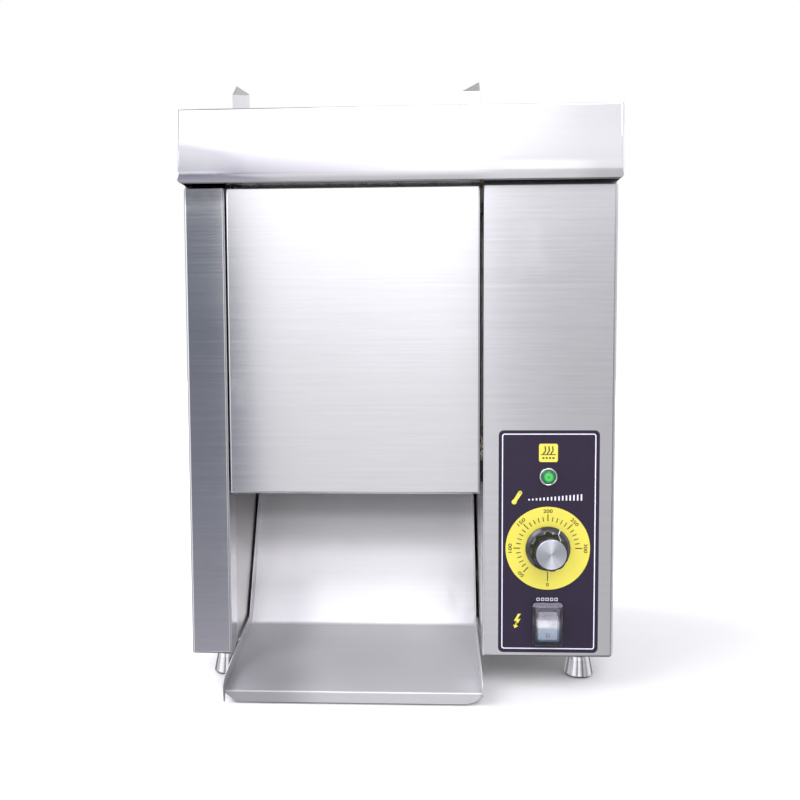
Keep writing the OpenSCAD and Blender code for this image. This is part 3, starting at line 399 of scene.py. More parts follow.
def make_lens():
    """Lit green lens: bright in the middle, ribbed round the edge."""
    m, t, b = material("green_lens")
    co = t.add("ShaderNodeTexCoord").outputs["Object"]
    c = P(149.6, 0, 221.2)
    d = t.vmath("SUBTRACT", co, tuple(c))
    x, y, z = t.add("ShaderNodeSeparateXYZ", {0: d}).outputs
    r = t.math("SQRT", t.math("ADD", t.math("MULTIPLY", x, x), t.math("MULTIPLY", z, z)))
    rr = t.maprange(r, 0.0, 0.0072, 0.0, 1.0)
    col = t.ramp(rr, [(0.0, (0.020, 0.30, 0.030)), (0.14, (0.018, 0.28, 0.028)), (0.24, (0.06, 0.46, 0.085)), (0.50, (0.05, 0.42, 0.075)),
                      (0.68, (0.012, 0.20, 0.045)), (0.82, (0.004, 0.09, 0.035)), (1.0, (0.03, 0.14, 0.07))])
    n = t.math("SUBTRACT", t.noise((600, 600, 600), 3, 0.6), 0.5)
    col = t.shade(col, 0.35, n)
    t.put(b, "Base Color", col)
    t.put(b, "Emission Color", col)
    b.inputs["Emission Strength"].default_value = 0.12
    b.inputs["Roughness"].default_value = 0.12
    b.inputs["Coat Weight"].default_value = 0.25
    b.inputs["Coat Roughness"].default_value = 0.08
    return m


MAT["lens_green"] = make_lens()


def make_hood():
    """Clear flexible switch cover, a little milky."""
    m, t, b = material("clear_cover")
    n = t.math("SUBTRACT", t.noise((180, 180, 180), 4, 0.6), 0.5)
    t.put(b, "Roughness", t.math("ADD", 0.22, t.math("MULTIPLY", n, 0.10)))
    # nearly clear on the flange, milky on the folds and the bulge
    x, y, z = t.add("ShaderNodeSeparateXYZ", {0: t.vmath("SUBTRACT", t.add("ShaderNodeTexCoord").outputs["Object"], tuple(P(149.6, 0, 70.2)))}).outputs
    bulge = t.maprange(y, -0.0085, -0.0125, 0.0, 1.0, True)
    fold = t.math("MULTIPLY", t.maprange(z, 0.0095, 0.0125, 0.0, 1.0, True), t.maprange(y, -0.0047, -0.0055, 0.0, 1.0, True))
    strip = t.maprange(z, 0.0180, 0.0186, 0.0, 1.0)
    # painted highlight and shade: the colour runs from dark blue-grey low down to near white across the middle, darker
    # again at the top
    painted_light_tone = t.ramp(t.maprange(z, -0.014, 0.010, 0.0, 1.0), [(0.0, (0.16, 0.21, 0.30)), (0.35, (0.30, 0.38, 0.50)), (0.56, (0.42, 0.50, 0.60)), (0.68, (0.82, 0.83, 0.86)), (0.88, (0.78, 0.78, 0.82)), (1.0, (0.34, 0.31, 0.40))])
    t.put(b, "Base Color", t.shade(painted_light_tone, 0.3, n))
    # painted highlight: the bulge shows more of its pale colour at its top left
    lit = t.math("MULTIPLY", t.maprange(z, -0.003, 0.003, 0.0, 1.0, True), t.maprange(x, 0.008, -0.004, 0.0, 1.0, True))
    bulge = t.math("MULTIPLY", bulge, t.math("ADD", 1.0, t.math("MULTIPLY", lit, 0.75)))
    bulge = t.math("MULTIPLY", bulge, t.maprange(x, 0.0080, 0.0105, 1.0, 0.15, True))
    a = t.math("MAXIMUM", t.math("MULTIPLY", bulge, 0.24), t.math("MAXIMUM", t.math("MULTIPLY", fold, 0.07), t.math("MULTIPLY", strip, 0.42)))
    t.put(b, "Alpha", t.math("ADD", 0.05, t.math("MULTIPLY", a, t.math("ADD", 1.0, t.math("MULTIPLY", n, 0.4)))))
    b.inputs["Coat Weight"].default_value = 0.12
    b.inputs["Coat Roughness"].default_value = 0.12
    t.put(b, "Normal", t.add("ShaderNodeBump", {"Height": t.noise((60, 60, 60), 2, 0.4), "Strength": 0.08, "Distance": 0.001}).outputs[0])
    return m


MAT["clear_hood"] = make_hood()


def make_spun(m):
    """Concentric turning marks on the knob's cap."""
    t = Tree(m.node_tree)
    out = t.add("ShaderNodeOutputMaterial")
    b = t.add("ShaderNodeBsdfPrincipled")
    t.nt.links.new(b.outputs[0], out.inputs[0])
    co = t.add("ShaderNodeTexCoord").outputs["Object"]
    d = t.vmath("SUBTRACT", co, tuple(P(149.6, 0, 148)))
    x, y, z = t.add("ShaderNodeSeparateXYZ", {0: d}).outputs
    r = t.math("SQRT", t.math("ADD", t.math("MULTIPLY", x, x), t.math("MULTIPLY", z, z)))
    n = t.add("ShaderNodeTexNoise", {"Vector": t.add("ShaderNodeCombineXYZ", {0: t.math("MULTIPLY", r, 3800.0)}).outputs[0], "Scale": 1.0, "Detail": 3.0}).outputs[0]
    g = t.math("SUBTRACT", n, 0.5)
    t.put(b, "Base Color", t.shade((0.66, 0.68, 0.74), 0.35, g))
    t.put(b, "Roughness", t.math("ADD", 0.42, t.math("MULTIPLY", g, 0.2)))
    b.inputs["Metallic"].default_value = 1.0
    b.inputs["Anisotropic"].default_value = 0.93
    b.inputs["Anisotropic Rotation"].default_value = 0.25
    t.put(b, "Tangent", t.add("ShaderNodeTangent", direction_type="RADIAL", axis="Y").outputs[0])
    t.put(b, "Normal", t.add("ShaderNodeBump", {"Height": n, "Strength": 0.08, "Distance": 0.00008}).outputs[0])


make_spun(MAT["spun_aluminium"])


# ------------------------------------------------------------------ piece helpers
def soft_edges(o, bevel=0.0, limit=32.0, seg=2):
    if bevel:
        b = o.modifiers.new("edges", "BEVEL")
        b.width = bevel / 1000.0
        b.segments = seg
        b.limit_method = "ANGLE"
        b.angle_limit = math.radians(limit)
        b.use_clamp_overlap = False
    w = o.modifiers.new("normals", "WEIGHTED_NORMAL")
    w.keep_sharp = True


def finished(me, name, mat, body, nodes=(), smooth=35.0, bevel=0.0, limit=32.0, seg=2):
    """A mesh in the row frame made into a piece of a body."""
    me.materials.clear()
    me.materials.append(mat)
    for p in me.polygons:
        p.use_smooth = True
        p.material_index = 0
    if not bevel:
        me.set_sharp_from_angle(angle=math.radians(smooth))
    o = bpy.data.objects.new(name, me)
    bpy.context.scene.collection.objects.link(o)
    soft_edges(o, bevel, limit, seg)
    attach(o, body)
    if nodes:
        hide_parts(*nodes)
        DONE.update(nodes)
    return o


def to_mesh(bm, name):
    bmesh.ops.recalc_face_normals(bm, faces=bm.faces)
    me = bpy.data.meshes.new(name)
    bm.to_mesh(me)
    bm.free()
    return me


def refine(node, mat=None, bevel=0.25, limit=32.0, seg=2):
    """The CAD node's own shape, welded, with its edges broken as a tool leaves them."""
    bm = bmesh.new()
    bm.from_mesh(NODE[node].data)
    bmesh.ops.remove_doubles(bm, verts=bm.verts, dist=3e-6)
    bmesh.ops.dissolve_limit(bm, angle_limit=math.radians(0.5), verts=bm.verts, edges=bm.edges, use_dissolve_boundaries=False)
    me = to_mesh(bm, node + "_piece")
    return finished(me, node + "_piece", mat or MAT[SLOT_OF[node]], NODE[node]["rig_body"], (node,), bevel=bevel, limit=limit, seg=seg)


def bend_points(p, q, s, r, n=5):
    """The rounded corner at q between p and s"""
    p, q, s = Vector(p), Vector(q), Vector(s)
    u, w = (p - q).normalized(), (s - q).normalized()
    half = u.angle(w) / 2
    a, b = q + u * r / math.tan(half), q + w * r / math.tan(half)
    out = []
    for i in range(n + 1):
        t = i / n
        # a quadratic that leaves and arrives along the two sides
        out.append(a * (1 - t) ** 2 + q * 2 * t * (1 - t) + b * t * t)
    return out


def profile(points):
    """[(r, d, rounding)] to a line of points with rounded corners"""
    out = []
    for i, (r, d, k) in enumerate(points):
        if k and 0 < i < len(points) - 1:
            out += bend_points(points[i - 1][:2], (r, d), points[i + 1][:2], k)
        else:
            out.append(Vector((r, d)))
    return out


def lathe_into(bm, prof, centre, axis="Y", seg=96, shape=None, loop=False):
    """Revolves (radius, place along the axis) about an axis through centre."""
    cx, c2 = centre
    rings = []
    for r, d in prof:
        ring = []
        for k in range(1 if r < 1e-6 else seg):
            a = 2 * math.pi * k / seg
            rr = shape(r, d, a) if shape else r
            u, v = rr * math.sin(a), rr * math.cos(a)
            ring.append(bm.verts.new(P(cx + u, d, c2 + v) if axis == "Y" else P(cx + u, c2 + v, d) if axis == "Z" else P(d, cx + u, c2 + v)))
        rings.append(ring)
    pairs = list(zip(rings, rings[1:])) + ([(rings[-1], rings[0])] if loop else [])
    for A, B in pairs:
        n = max(len(A), len(B))
        if n == 1:
            continue
        for i in range(n):
            j = (i + 1) % n
            if len(A) == 1:
                bm.faces.new((A[0], B[j], B[i]))
            elif len(B) == 1:
                bm.faces.new((A[i], A[j], B[0]))
            else:
                bm.faces.new((A[i], A[j], B[j], B[i]))


def lathe(prof, centre, name, axis="Y", seg=96, shape=None, loop=False):
    bm = bmesh.new()
    lathe_into(bm, prof, centre, axis, seg, shape, loop)
    return to_mesh(bm, name)


def wire_into(V, F, pts, r, sides=8, closed=False):
    """A round wire along points in metres, with flat ends."""
    n = len(pts)
    tang = []
    for i in range(n):
        a = pts[(i - 1) % n] if closed or i > 0 else pts[i]
        b = pts[(i + 1) % n] if closed or i < n - 1 else pts[i]
        tang.append((b - a).normalized())
    ref = Vector((0, 0, 1)) if abs(tang[0].z) < 0.9 else Vector((1, 0, 0))
    u = tang[0].cross(ref).normalized()
    base = len(V)
    for i in range(n):
        if i:
            u = (u - tang[i] * u.dot(tang[i])).normalized()
        v = tang[i].cross(u)
        for k in range(sides):
            a = 2 * math.pi * k / sides
            V.append(pts[i] + (u * math.cos(a) + v * math.sin(a)) * r)
    for i in range(n if closed else n - 1):
        j = (i + 1) % n
        for k in range(sides):
            l = (k + 1) % sides
            F.append((base + i * sides + k, base + i * sides + l, base + j * sides + l, base + j * sides + k))
    if not closed:
        F.append(tuple(base + k for k in range(sides))[::-1])
        F.append(tuple(base + (n - 1) * sides + k for k in range(sides)))


def from_lists(V, F, name):
    me = bpy.data.meshes.new(name)
    me.from_pydata(V, [], F)
    me.validate()
    bm = bmesh.new()
    bm.from_mesh(me)
    bmesh.ops.recalc_face_normals(bm, faces=bm.faces)
    bm.to_mesh(me)
    bm.free()
    return me


# ------------------------------------------------------------------ printed marks
class Print:
    """Ink laid on a flat front: closed slabs a few hundredths of a millimetre thick."""

    def __init__(self, front, thick=0.07):
        self.front, self.back = front - thick, front + 0.03
        self.bm = bmesh.new()

    def place(self, pts, fn=None):
        f = [self.bm.verts.new(P(x, self.front, z) if fn is None else fn(x, z, True)) for x, z in pts]
        b = [self.bm.verts.new(P(x, self.back, z) if fn is None else fn(x, z, False)) for x, z in pts]
        self.bm.faces.new(f)
        self.bm.faces.new(b[::-1])
        n = len(f)
        for i in range(n):
            j = (i + 1) % n
            self.bm.faces.new((f[j], f[i], b[i], b[j]))

    def band(self, outer, inner):
        """The area between two outlines with the same number of points"""
        n = len(outer)
        rows = [[self.bm.verts.new(P(x, d, z)) for x, z in line] for line, d in
                ((outer, self.front), (inner, self.front), (inner, self.back), (outer, self.back))]
        for A, B in zip(rows, rows[1:] + rows[:1]):
            for i in range(n):
                j = (i + 1) % n
                self.bm.faces.new((A[i], A[j], B[j], B[i]))

    def stroke(self, pts, width, fn=None):
        """A line of even width through points, with square ends"""
        pts = [Vector(p) for p in pts]
        left, right = [], []
        for i, p in enumerate(pts):
            a = pts[max(i - 1, 0)]
            b = pts[min(i + 1, len(pts) - 1)]
            t = (b - a).normalized()
            n = Vector((-t.y, t.x)) * width / 2
            if 0 < i < len(pts) - 1:
                n /= max(0.5, (pts[i] - a).normalized().dot(t))
            left.append(p + n)
            right.append(p - n)
        put = fn or (lambda x, z, front: P(x, self.front if front else self.back, z))
        rows = [[self.bm.verts.new(put(*q, f)) for q in line] for line, f in ((left, True), (right, True), (right, False), (left, False))]
        for A, B in zip(rows, rows[1:] + rows[:1]):
            for i in range(len(A) - 1):
                self.bm.faces.new((A[i], A[i + 1], B[i + 1], B[i]))
        for e in (0, -1):
            self.bm.faces.new([r[e] for r in rows])

    def disc(self, c, r, n=24):
        self.place([(c[0] + r * math.sin(2 * math.pi * k / n), c[1] + r * math.cos(2 * math.pi * k / n)) for k in range(n)])

    def text(self, body, at, height, turn=0.0, width=None, fn=None):
        """Numbers and plain letters: at is the middle, turn is clockwise from upright in degrees"""
        cu = bpy.data.curves.new("figures", "FONT")
        cu.body = body
        cu.align_x = "CENTER"
        cu.align_y = "CENTER"
        cu.extrude = 0.02
        cu.offset = 0.017
        cu.resolution_u = 4
        ob = bpy.data.objects.new("figures", cu)
        bpy.context.scene.collection.objects.link(ob)
        bpy.context.view_layer.update()
        me = bpy.data.meshes.new_from_object(ob.evaluated_get(bpy.context.evaluated_depsgraph_get()))
        bpy.data.objects.remove(ob)
        xs = [v.co.x for v in me.vertices]
        ys = [v.co.y for v in me.vertices]
        cx, cy = (min(xs) + max(xs)) / 2, (min(ys) + max(ys)) / 2
        ky = height / (max(ys) - min(ys))
        kx = width / (max(xs) - min(xs)) if width else ky
        s, c = math.sin(math.radians(turn)), math.cos(math.radians(turn))
        for v in me.vertices:
            x, y, front = (v.co.x - cx) * kx, (v.co.y - cy) * ky, v.co.z > 0
            X, Z = at[0] + x * c + y * s, at[1] - x * s + y * c
            v.co = P(X, self.front if front else self.back, Z) if fn is None else fn(X, Z, front)
        self.bm.from_mesh(me)
        bpy.data.meshes.remove(me)
        bmesh.ops.remove_doubles(self.bm, verts=self.bm.verts, dist=1e-6)

    def done(self, name, mat, body, slot):
        bmesh.ops.triangulate(self.bm, faces=[f for f in self.bm.faces if len(f.verts) > 4])
        return finished(to_mesh(self.bm, name), name, mat, body, smooth=20)


def round_rect(x0, z0, x1, z1, r, n=8):
    out = []
    for cx, cz, a0 in ((x1 - r, z1 - r, 0), (x0 + r, z1 - r, 90), (x0 + r, z0 + r, 180), (x1 - r, z0 + r, 270)):
        for i in range(n + 1):
            a = math.radians(a0 + 90 * i / n)
            out.append((cx + r * math.cos(a), cz + r * math.sin(a)))
    return out


# ------------------------------------------------------------------ controls
CX, DIAL_Z, LAMP_Z, SW_Z, POINT = 149.6, 148.0, 221.2, 70.2, 32.0


def lobes(r, d, a):
    """The grip's ten scallops; one lobe stands at the pointer"""
    if not (r > 15.6 and -26.5 < d < -6.1):
        return r
    t = (math.degrees(a) - POINT + 18) % 36 - 18        # 0 on a lobe's crest
    g = math.radians(18 - abs(t))                       # 0 in the middle of a scallop
    c, q = 25.4, 9.4
    s = q * q - (c * math.sin(g)) ** 2
    cut = c * math.cos(g) - math.sqrt(max(s, 0.0)) if s > 0 else 99.0
    # runs out near the grip's foot
    k = min(1.0, max(0.0, (-6.3 - d) / 1.4))
    lim = 0.35
    h = max(lim - abs(r - cut), 0.0) / lim
    m = min(r, cut) - h * h * lim * 0.25
    return r + (m - r) * k


def make_knob():
    prof = profile([(0, -1.2, 0), (22.0, -1.2, 0), (22.5, -1.6, 0.3), (22.5, -3.3, 0.5), (19.5, -6.1, 0.5), (18.35, -6.3, 0.25),
                    (18.1, -7.6, 0.5)])
    prof += [Vector((18.1 - 0.075 * i, -7.6 - i)) for i in range(1, 18)]
    prof += profile([(16.85, -24.9, 0), (16.75, -26.4, 0.55), (15.75, -26.4, 0.25), (15.3, -25.9, 0.2), (15.3, -25.2, 0), (0, -25.2, 0)])[1:]
    me = lathe(prof, (CX, DIAL_Z), "knob_piece", seg=300, shape=lobes)
    finished(me, "knob_piece", MAT["knob_black"], "temperature_knob", ("knob",), smooth=50)
    # pointer line: up the skirt's cone, over its step and along the lobe's crest
    a = math.radians(POINT)
    out, side = Vector((math.sin(a), 0, math.cos(a))), Vector((math.cos(a), 0, -math.sin(a)))
    line = [(22.5, -1.7), (22.5, -3.1), (22.42, -3.45), (19.6, -5.95), (19.4, -6.14), (18.5, -6.3), (18.2, -6.6), (18.1, -7.6), (16.9, -24.9), (16.78, -25.8), (16.4, -26.35), (15.8, -26.4)]
    bm = bmesh.new()
    rows = []
    for i, (r, d) in enumerate(line):
        p0, p1 = line[max(i - 1, 0)], line[min(i + 1, len(line) - 1)]
        t = Vector((p1[0] - p0[0], p1[1] - p0[1])).normalized()
        n = Vector((-t.y, t.x))
        if n.x < -0.2 or (abs(n.x) <= 0.2 and n.y > 0):
            n = -n
        row = []
        for lift, s in ((0.07, -0.45), (0.07, 0.45), (-0.12, 0.45), (-0.12, -0.45)):
            q = Vector((r, d)) + n * lift
            row.append(bm.verts.new(P(CX, q.y, DIAL_Z) + (out * q.x + side * s) / 1000))
        rows.append(row)
    for A, B in zip(rows, rows[1:]):
        for i in range(4):
            j = (i + 1) % 4
            bm.faces.new((A[i], A[j], B[j], B[i]))
    bm.faces.new(rows[0])
    bm.faces.new(rows[-1][::-1])
    finished(to_mesh(bm, "knob_pointer"), "knob_pointer", PRINT_WHITE, "temperature_knob")
    # spun cap with a turned lip
    prof = profile([(0, -25.2, 0), (15.1, -25.2, 0), (15.1, -26.1, 0.12), (14.5, -26.95, 0.35), (14.0, -27.0, 0), (13.75, -26.86, 0.1), (13.5, -26.92, 0.1), (9, -26.96, 0), (0, -26.98, 0)])
    finished(lathe(prof, (CX, DIAL_Z), "knob_cap_piece", seg=128), "knob_cap_piece", MAT["spun_aluminium"], "temperature_knob", ("knob_cap",), smooth=30)


make_knob()


def make_lamp():
    prof = profile([(0, 20, 0), (7.5, 20, 0), (7.8, 19.6, 0.2), (7.8, -0.4, 0), (9.45, -0.4, 0), (9.45, -1.9, 0.5), (8.6, -3.5, 0.7), (7.9, -3.6, 0.3), (7.25, -3.2, 0.25),
                    (7.2, -0.8, 0), (5.5, -0.8, 0), (5.5, 18, 0), (0, 18, 0)])
    finished(lathe(prof, (CX, LAMP_Z), "lamp_bezel_piece", seg=96), "lamp_bezel_piece", MAT["chrome"], "housing", ("lamp_bezel",), smooth=40)
    prof = profile([(0, 12, 0), (5.3, 12, 0.3), (5.3, -0.9, 0), (7.05, -0.9, 0), (7.05, -3.7, 0.25), (6.5, -4.25, 0.2), (6.25, -4.15, 0.1), (5.9, -4.75, 0.2), (5.2, -5.2, 0.15),
                    (5.0, -5.05, 0.1), (4.7, -5.35, 0.15), (3.6, -5.72, 0.1), (3.4, -5.6, 0.08), (3.1, -5.8, 0.1), (1.6, -5.96, 0), (1.4, -5.86, 0.06), (1.1, -5.96, 0.1), (0, -6.0, 0)])
    finished(lathe(prof, (CX, LAMP_Z), "lamp_lens_piece", seg=96), "lamp_lens_piece", MAT["lens_green"], "housing", ("lamp_lens",), smooth=50)


make_lamp()


def make_switch():
    # clear cover: flange, sloped sides, soft bulge; one closed shell with its inner face
    def ring(bm, d, hw, z0, z1, r):
        return [bm.verts.new(P(CX + x, d, SW_Z + z)) for x, z in round_rect(-hw, z0, hw, z1, r, 7)]
    outer = [(-3.4, 15.0, -22.4, 22.4, 3.0), (-4.25, 15.0, -22.4, 22.4, 3.0), (-4.5, 14.85, -22.25, 22.25, 2.9), (-4.6, 14.6, -22.0, 22.0, 2.7), (-4.6, 13.9, -20.4, 20.2, 3.0),
             (-4.8, 13.3, -19.6, 19.4, 3.2), (-5.5, 13.0, -18.9, 18.8, 3.4), (-6.1, 12.9, -18.3, 17.4, 3.4), (-6.25, 12.75, -18.0, 17.0, 3.4), (-9.3, 12.3, -15.8, 12.9, 3.6), (-9.6, 12.35, -15.6, 12.75, 3.7),
             (-12.4, 11.9, -14.4, 12.5, 4.0), (-14.2, 11.6, -13.5, 12.3, 4.2), (-15.1, 11.1, -12.8, 11.8, 4.4), (-15.5, 10.3, -11.9, 11.0, 4.4), (-15.6, 9.2, -10.8, 9.9, 4.2),
             (-15.6, 6.0, -7.2, 6.6, 3.4), (-15.6, 2.4, -3.0, 2.6, 1.6)]
    inner = [(-3.4, 12.2, -18.2, 18.2, 2.4), (-5.9, 12.0, -17.4, 16.6, 2.6), (-9.3, 11.4, -15.0, 12.0, 2.8), (-13.4, 10.9, -12.9, 11.5, 3.4), (-14.4, 9.9, -11.6, 10.4, 3.6), (-14.6, 8.4, -9.8, 9.0, 3.4), (-14.6, 2.4, -3.0, 2.6, 1.6)]
    bm = bmesh.new()
    a = [ring(bm, *s) for s in outer]
    b = [ring(bm, *s) for s in inner]
    for rows in (a, b):
        for A, B in zip(rows, rows[1:]):
            for i in range(len(A)):
                j = (i + 1) % len(A)
                bm.faces.new((A[i], A[j], B[j], B[i]))
        bm.faces.new(rows[-1])
    for i in range(len(a[0])):
        j = (i + 1) % len(a[0])
        bm.faces.new((a[0][i], b[0][i], b[0][j], a[0][j]))
    finished(to_mesh(bm, "switch_hood_piece"), "switch_hood_piece", MAT["clear_hood"], "housing", ("switch_hood",), smooth=28)
    # rocker with soft edges, and its two marks
    refine("switch_rocker", bevel=0.55, limit=24, seg=3)
    tilt = math.radians(9)

    def on_rocker(x, z, front):
        """x across, z up the rocker's own face; marks sit on the dished front"""
        pts = [(-13, -11.4), (-6, -9.7), (0, -9.1), (6, -9.7), (13, -11.4)]
        for (z0, y0), (z1, y1) in zip(pts, pts[1:]):
            if z <= z1 or z1 == 13:
                y = y0 + (y1 - y0) * (z - z0) / (z1 - z0)
                break
        y += -0.06 if front else 0.04
        c, s = math.cos(tilt), math.sin(tilt)
        return P(CX + x, 3 + y * c - z * s, SW_Z + y * s + z * c)
    pr = Print(0)
    pr.place([(-0.55, 6.6), (0.55, 6.6), (0.55, 10.6), (-0.55, 10.6)], on_rocker)
    n = 24
    ro, ri = 2.2, 1.3
    for k in range(n):
        a0, a1 = 2 * math.pi * k / n, 2 * math.pi * (k + 1) / n
        pr.place([(ro * math.sin(a0), -8.8 + ro * math.cos(a0)), (ro * math.sin(a1), -8.8 + ro * math.cos(a1)),
                  (ri * math.sin(a1), -8.8 + ri * math.cos(a1)), (ri * math.sin(a0), -8.8 + ri * math.cos(a0))], on_rocker)
    bmesh.ops.remove_doubles(pr.bm, verts=pr.bm.verts, dist=1e-6)
    inner_faces = {}
    for f in pr.bm.faces:
        inner_faces.setdefault(tuple(sorted(v.index for v in f.verts)), []).append(f)
    pr.bm.verts.index_update()
    inner_faces = {}
    for f in pr.bm.faces:
        inner_faces.setdefault(tuple(sorted(v.index for v in f.verts)), []).append(f)
    twins = [f for fs in inner_faces.values() if len(fs) > 1 for f in fs]
    if twins:
        bmesh.ops.delete(pr.bm, geom=twins, context="FACES")
    pr.done("rocker_marks", PRINT_DARK, "power_rocker", "rocker_grey")


make_switch()


def make_overlay():
    refine("control_overlay", bevel=0.12, seg=2)
    refine("dial_plate", bevel=0.08, seg=2)
    # white frame line
    w = Print(-0.4)
    w.band(round_rect(103.2, 43.9, 197.3, 264.7, 2.7), round_rect(104.25, 44.95, 196.25, 263.65, 1.8))
    # level marks above the dial: a row of bars that grow to the right
    n = 15
    for i in range(n):
        x = 130.6 + (183.0 - 130.6) * i / (n - 1)
        h = 1.6 + 4.9 * i / (n - 1)
        w.place([(x - 0.75, 196.9), (x + 0.75, 196.9), (x + 0.75, 196.9 + h), (x - 0.75, 196.9 + h)])
    # five small squares above the switch
    for i in range(5):
        x = 140.3 + 18.2 * i / 4
        w.band(round_rect(x - 1.6, 93.8, x + 1.6, 97.0, 0.5, 2), round_rect(x - 1.0, 94.4, x + 1.0, 96.4, 0.3, 2))
    w.done("overlay_white_print", PRINT_WHITE, "housing", "panel_film")
    y = Print(-0.4)
    y.place(round_rect(140.2, 236.0, 159.1, 254.5, 2.0, 6))
    # thermometer: stem and bulb leaning to the right, open ring at its top
    c0, c1 = Vector((115.6, 195.4)), Vector((121.6, 204.7))
    u = (c1 - c0).normalized()
    v = Vector((-u.y, u.x))
    outline = []
    rb, rs = 2.6, 2.0
    for k in range(0, 15):
        t = math.radians(46 + (314 - 46) * k / 14)      # round the bulb
        outline.append(c0 + (u * math.cos(t) + v * math.sin(t)) * rb)
    for k in range(0, 11):
        t = math.radians(-90 + 180 * k / 10)
        outline.append(c1 + (u * math.cos(t) + v * math.sin(t)) * rs)
    hole = c1 - u * 0.1
    y.place([tuple(p) for p in outline])
    # flash with its arrow head pointing down
    z = [(119.9, 80.3), (115.9, 72.6), (118.6, 72.9), (116.9, 68.6), (115.2, 69.3), (116.6, 65.3), (120.6, 67.6), (118.6, 68.1), (122.7, 75.2), (119.6, 74.8), (123.0, 80.3)]
    y.place(z)
    y.done("overlay_yellow_print", MAT["dial_yellow"], "housing", "dial_yellow")
    k = Print(-0.47)
    for i in range(3):
        x = 145.6 + 3.75 * i
        pts = []
        for j in range(25):
            t = j / 24
            pts.append((x - 0.3 + 0.62 * math.sin(2 * math.pi * (1.15 * t - 0.28)) + 1.9 * t, 244.0 + 8.0 * t))
        k.stroke(pts, 1.25)
    k.stroke([(142.2, 243.5), (157.0, 243.5)], 0.9)
    for i in range(4):
        x = 144.6 + 3.35 * i
        k.place([(x - 1.0, 239.2), (x + 1.0, 239.2), (x + 1.0, 240.9), (x - 1.0, 240.9)])
    k.disc(tuple(hole), 0.75, 16)
    k.done("overlay_dark_print", PRINT_DARK, "housing", "panel_film")
    # dial scale
    d = Print(-0.7)

    def tick(a, r0, r1, w):
        s, c = math.sin(math.radians(a)), math.cos(math.radians(a))
        q = [(r0, -w / 2), (r1, -w / 2), (r1, w / 2), (r0, w / 2)]
        d.place([(CX + r * s + t * c, DIAL_Z + 0.1 + r * c - t * s) for r, t in q])
    for i in range(26):
        a = -135 + 9 * i
        big = i % 5 == 0
        tick(a, 27.6, 34.7 if big else 32.3, 1.05 if big else 0.92)
    tick(180, 24.0, 33.7, 0.9)
    for i, n in enumerate((50, 100, 150, 200, 250, 300)):
        a = -135 + 45 * i
        r = 38.0
        d.text(str(n), (CX + r * math.sin(math.radians(a)), DIAL_Z + 0.1 + r * math.cos(math.radians(a))), 3.7, a, 6.6 if n == 50 else 9.4)
    d.text("0", (CX, DIAL_Z - 37.3), 3.7, 0, 2.7)
    d.done("dial_scale", PRINT_DARK, "housing", "dial_yellow")


make_overlay()


# ------------------------------------------------------------------ belts
def make_belt(node, depth):
    """Flat wire belt: 120 strands, each hooked round the next one at six or seven places."""
    R, z0, z1 = 19.4, 245.0, 525.0
    run = z1 - z0
    turn = math.pi * R
    total = 2 * run + 2 * turn
    count = 120
    pitch = total / count

    def at(x, s, n):
        s %= total
        if s < run:
            d, z, nd, nz = R, z0 + s, 1.0, 0.0
        elif s < run + turn:
            a = (s - run) / R
            d, z, nd, nz = R * math.cos(a), z1 + R * math.sin(a), math.cos(a), math.sin(a)
        elif s < 2 * run + turn:
            d, z, nd, nz = -R, z1 - (s - run - turn), -1.0, 0.0
        else:
            a = math.pi + (s - 2 * run - turn) / R
            d, z, nd, nz = R * math.cos(a), z0 + R * math.sin(a), math.cos(a), math.sin(a)
        return P(x, depth + d + nd * n, z + nz * n)
    V, F = [], []
    p = pitch
    hook = [(-3.0, 0.0, 0.0), (-2.3, 0.35, 0.15), (-2.0, 1.2, 0.5), (-1.8, p - 0.9, 0.8), (-1.5, p + 0.25, 0.72), (-0.7, p + 0.85, 0.25), (0.0, p + 0.95, 0.0),
            (0.7, p + 0.85, -0.25), (1.5, p + 0.25, -0.72), (1.8, p - 0.9, -0.8), (2.0, 1.2, -0.5), (2.3, 0.35, -0.15), (3.0, 0.0, 0.0)]
    for i in range(count):
        s = i * pitch
        off = 0.0 if i % 2 else 9.0
        pts = [at(-164 + 0.6, s + 0.9, 0.0), at(-164 + 0.6, s + 0.2, 0.0), at(-164 + 1.2, s, 0.0)]
        for k in range(7):
            xc = -154.0 + 36.2 * k + off
            if xc > 68:
                continue
            pts += [at(xc + dx, s + ds, dn) for dx, ds, dn in hook]
        pts += [at(74 - 1.2, s, 0.0), at(74 - 0.6, s + 0.2, 0.0), at(74 - 0.6, s + 0.9, 0.0)]
        wire_into(V, F, pts, 0.00042, 6)
    finished(from_lists(V, F, node + "_piece"), node + "_piece", MAT["belt_wire"], NODE[node]["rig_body"], (node,), smooth=70)


make_belt("front_belt", 47.0)
make_belt("rear_belt", 167.0)


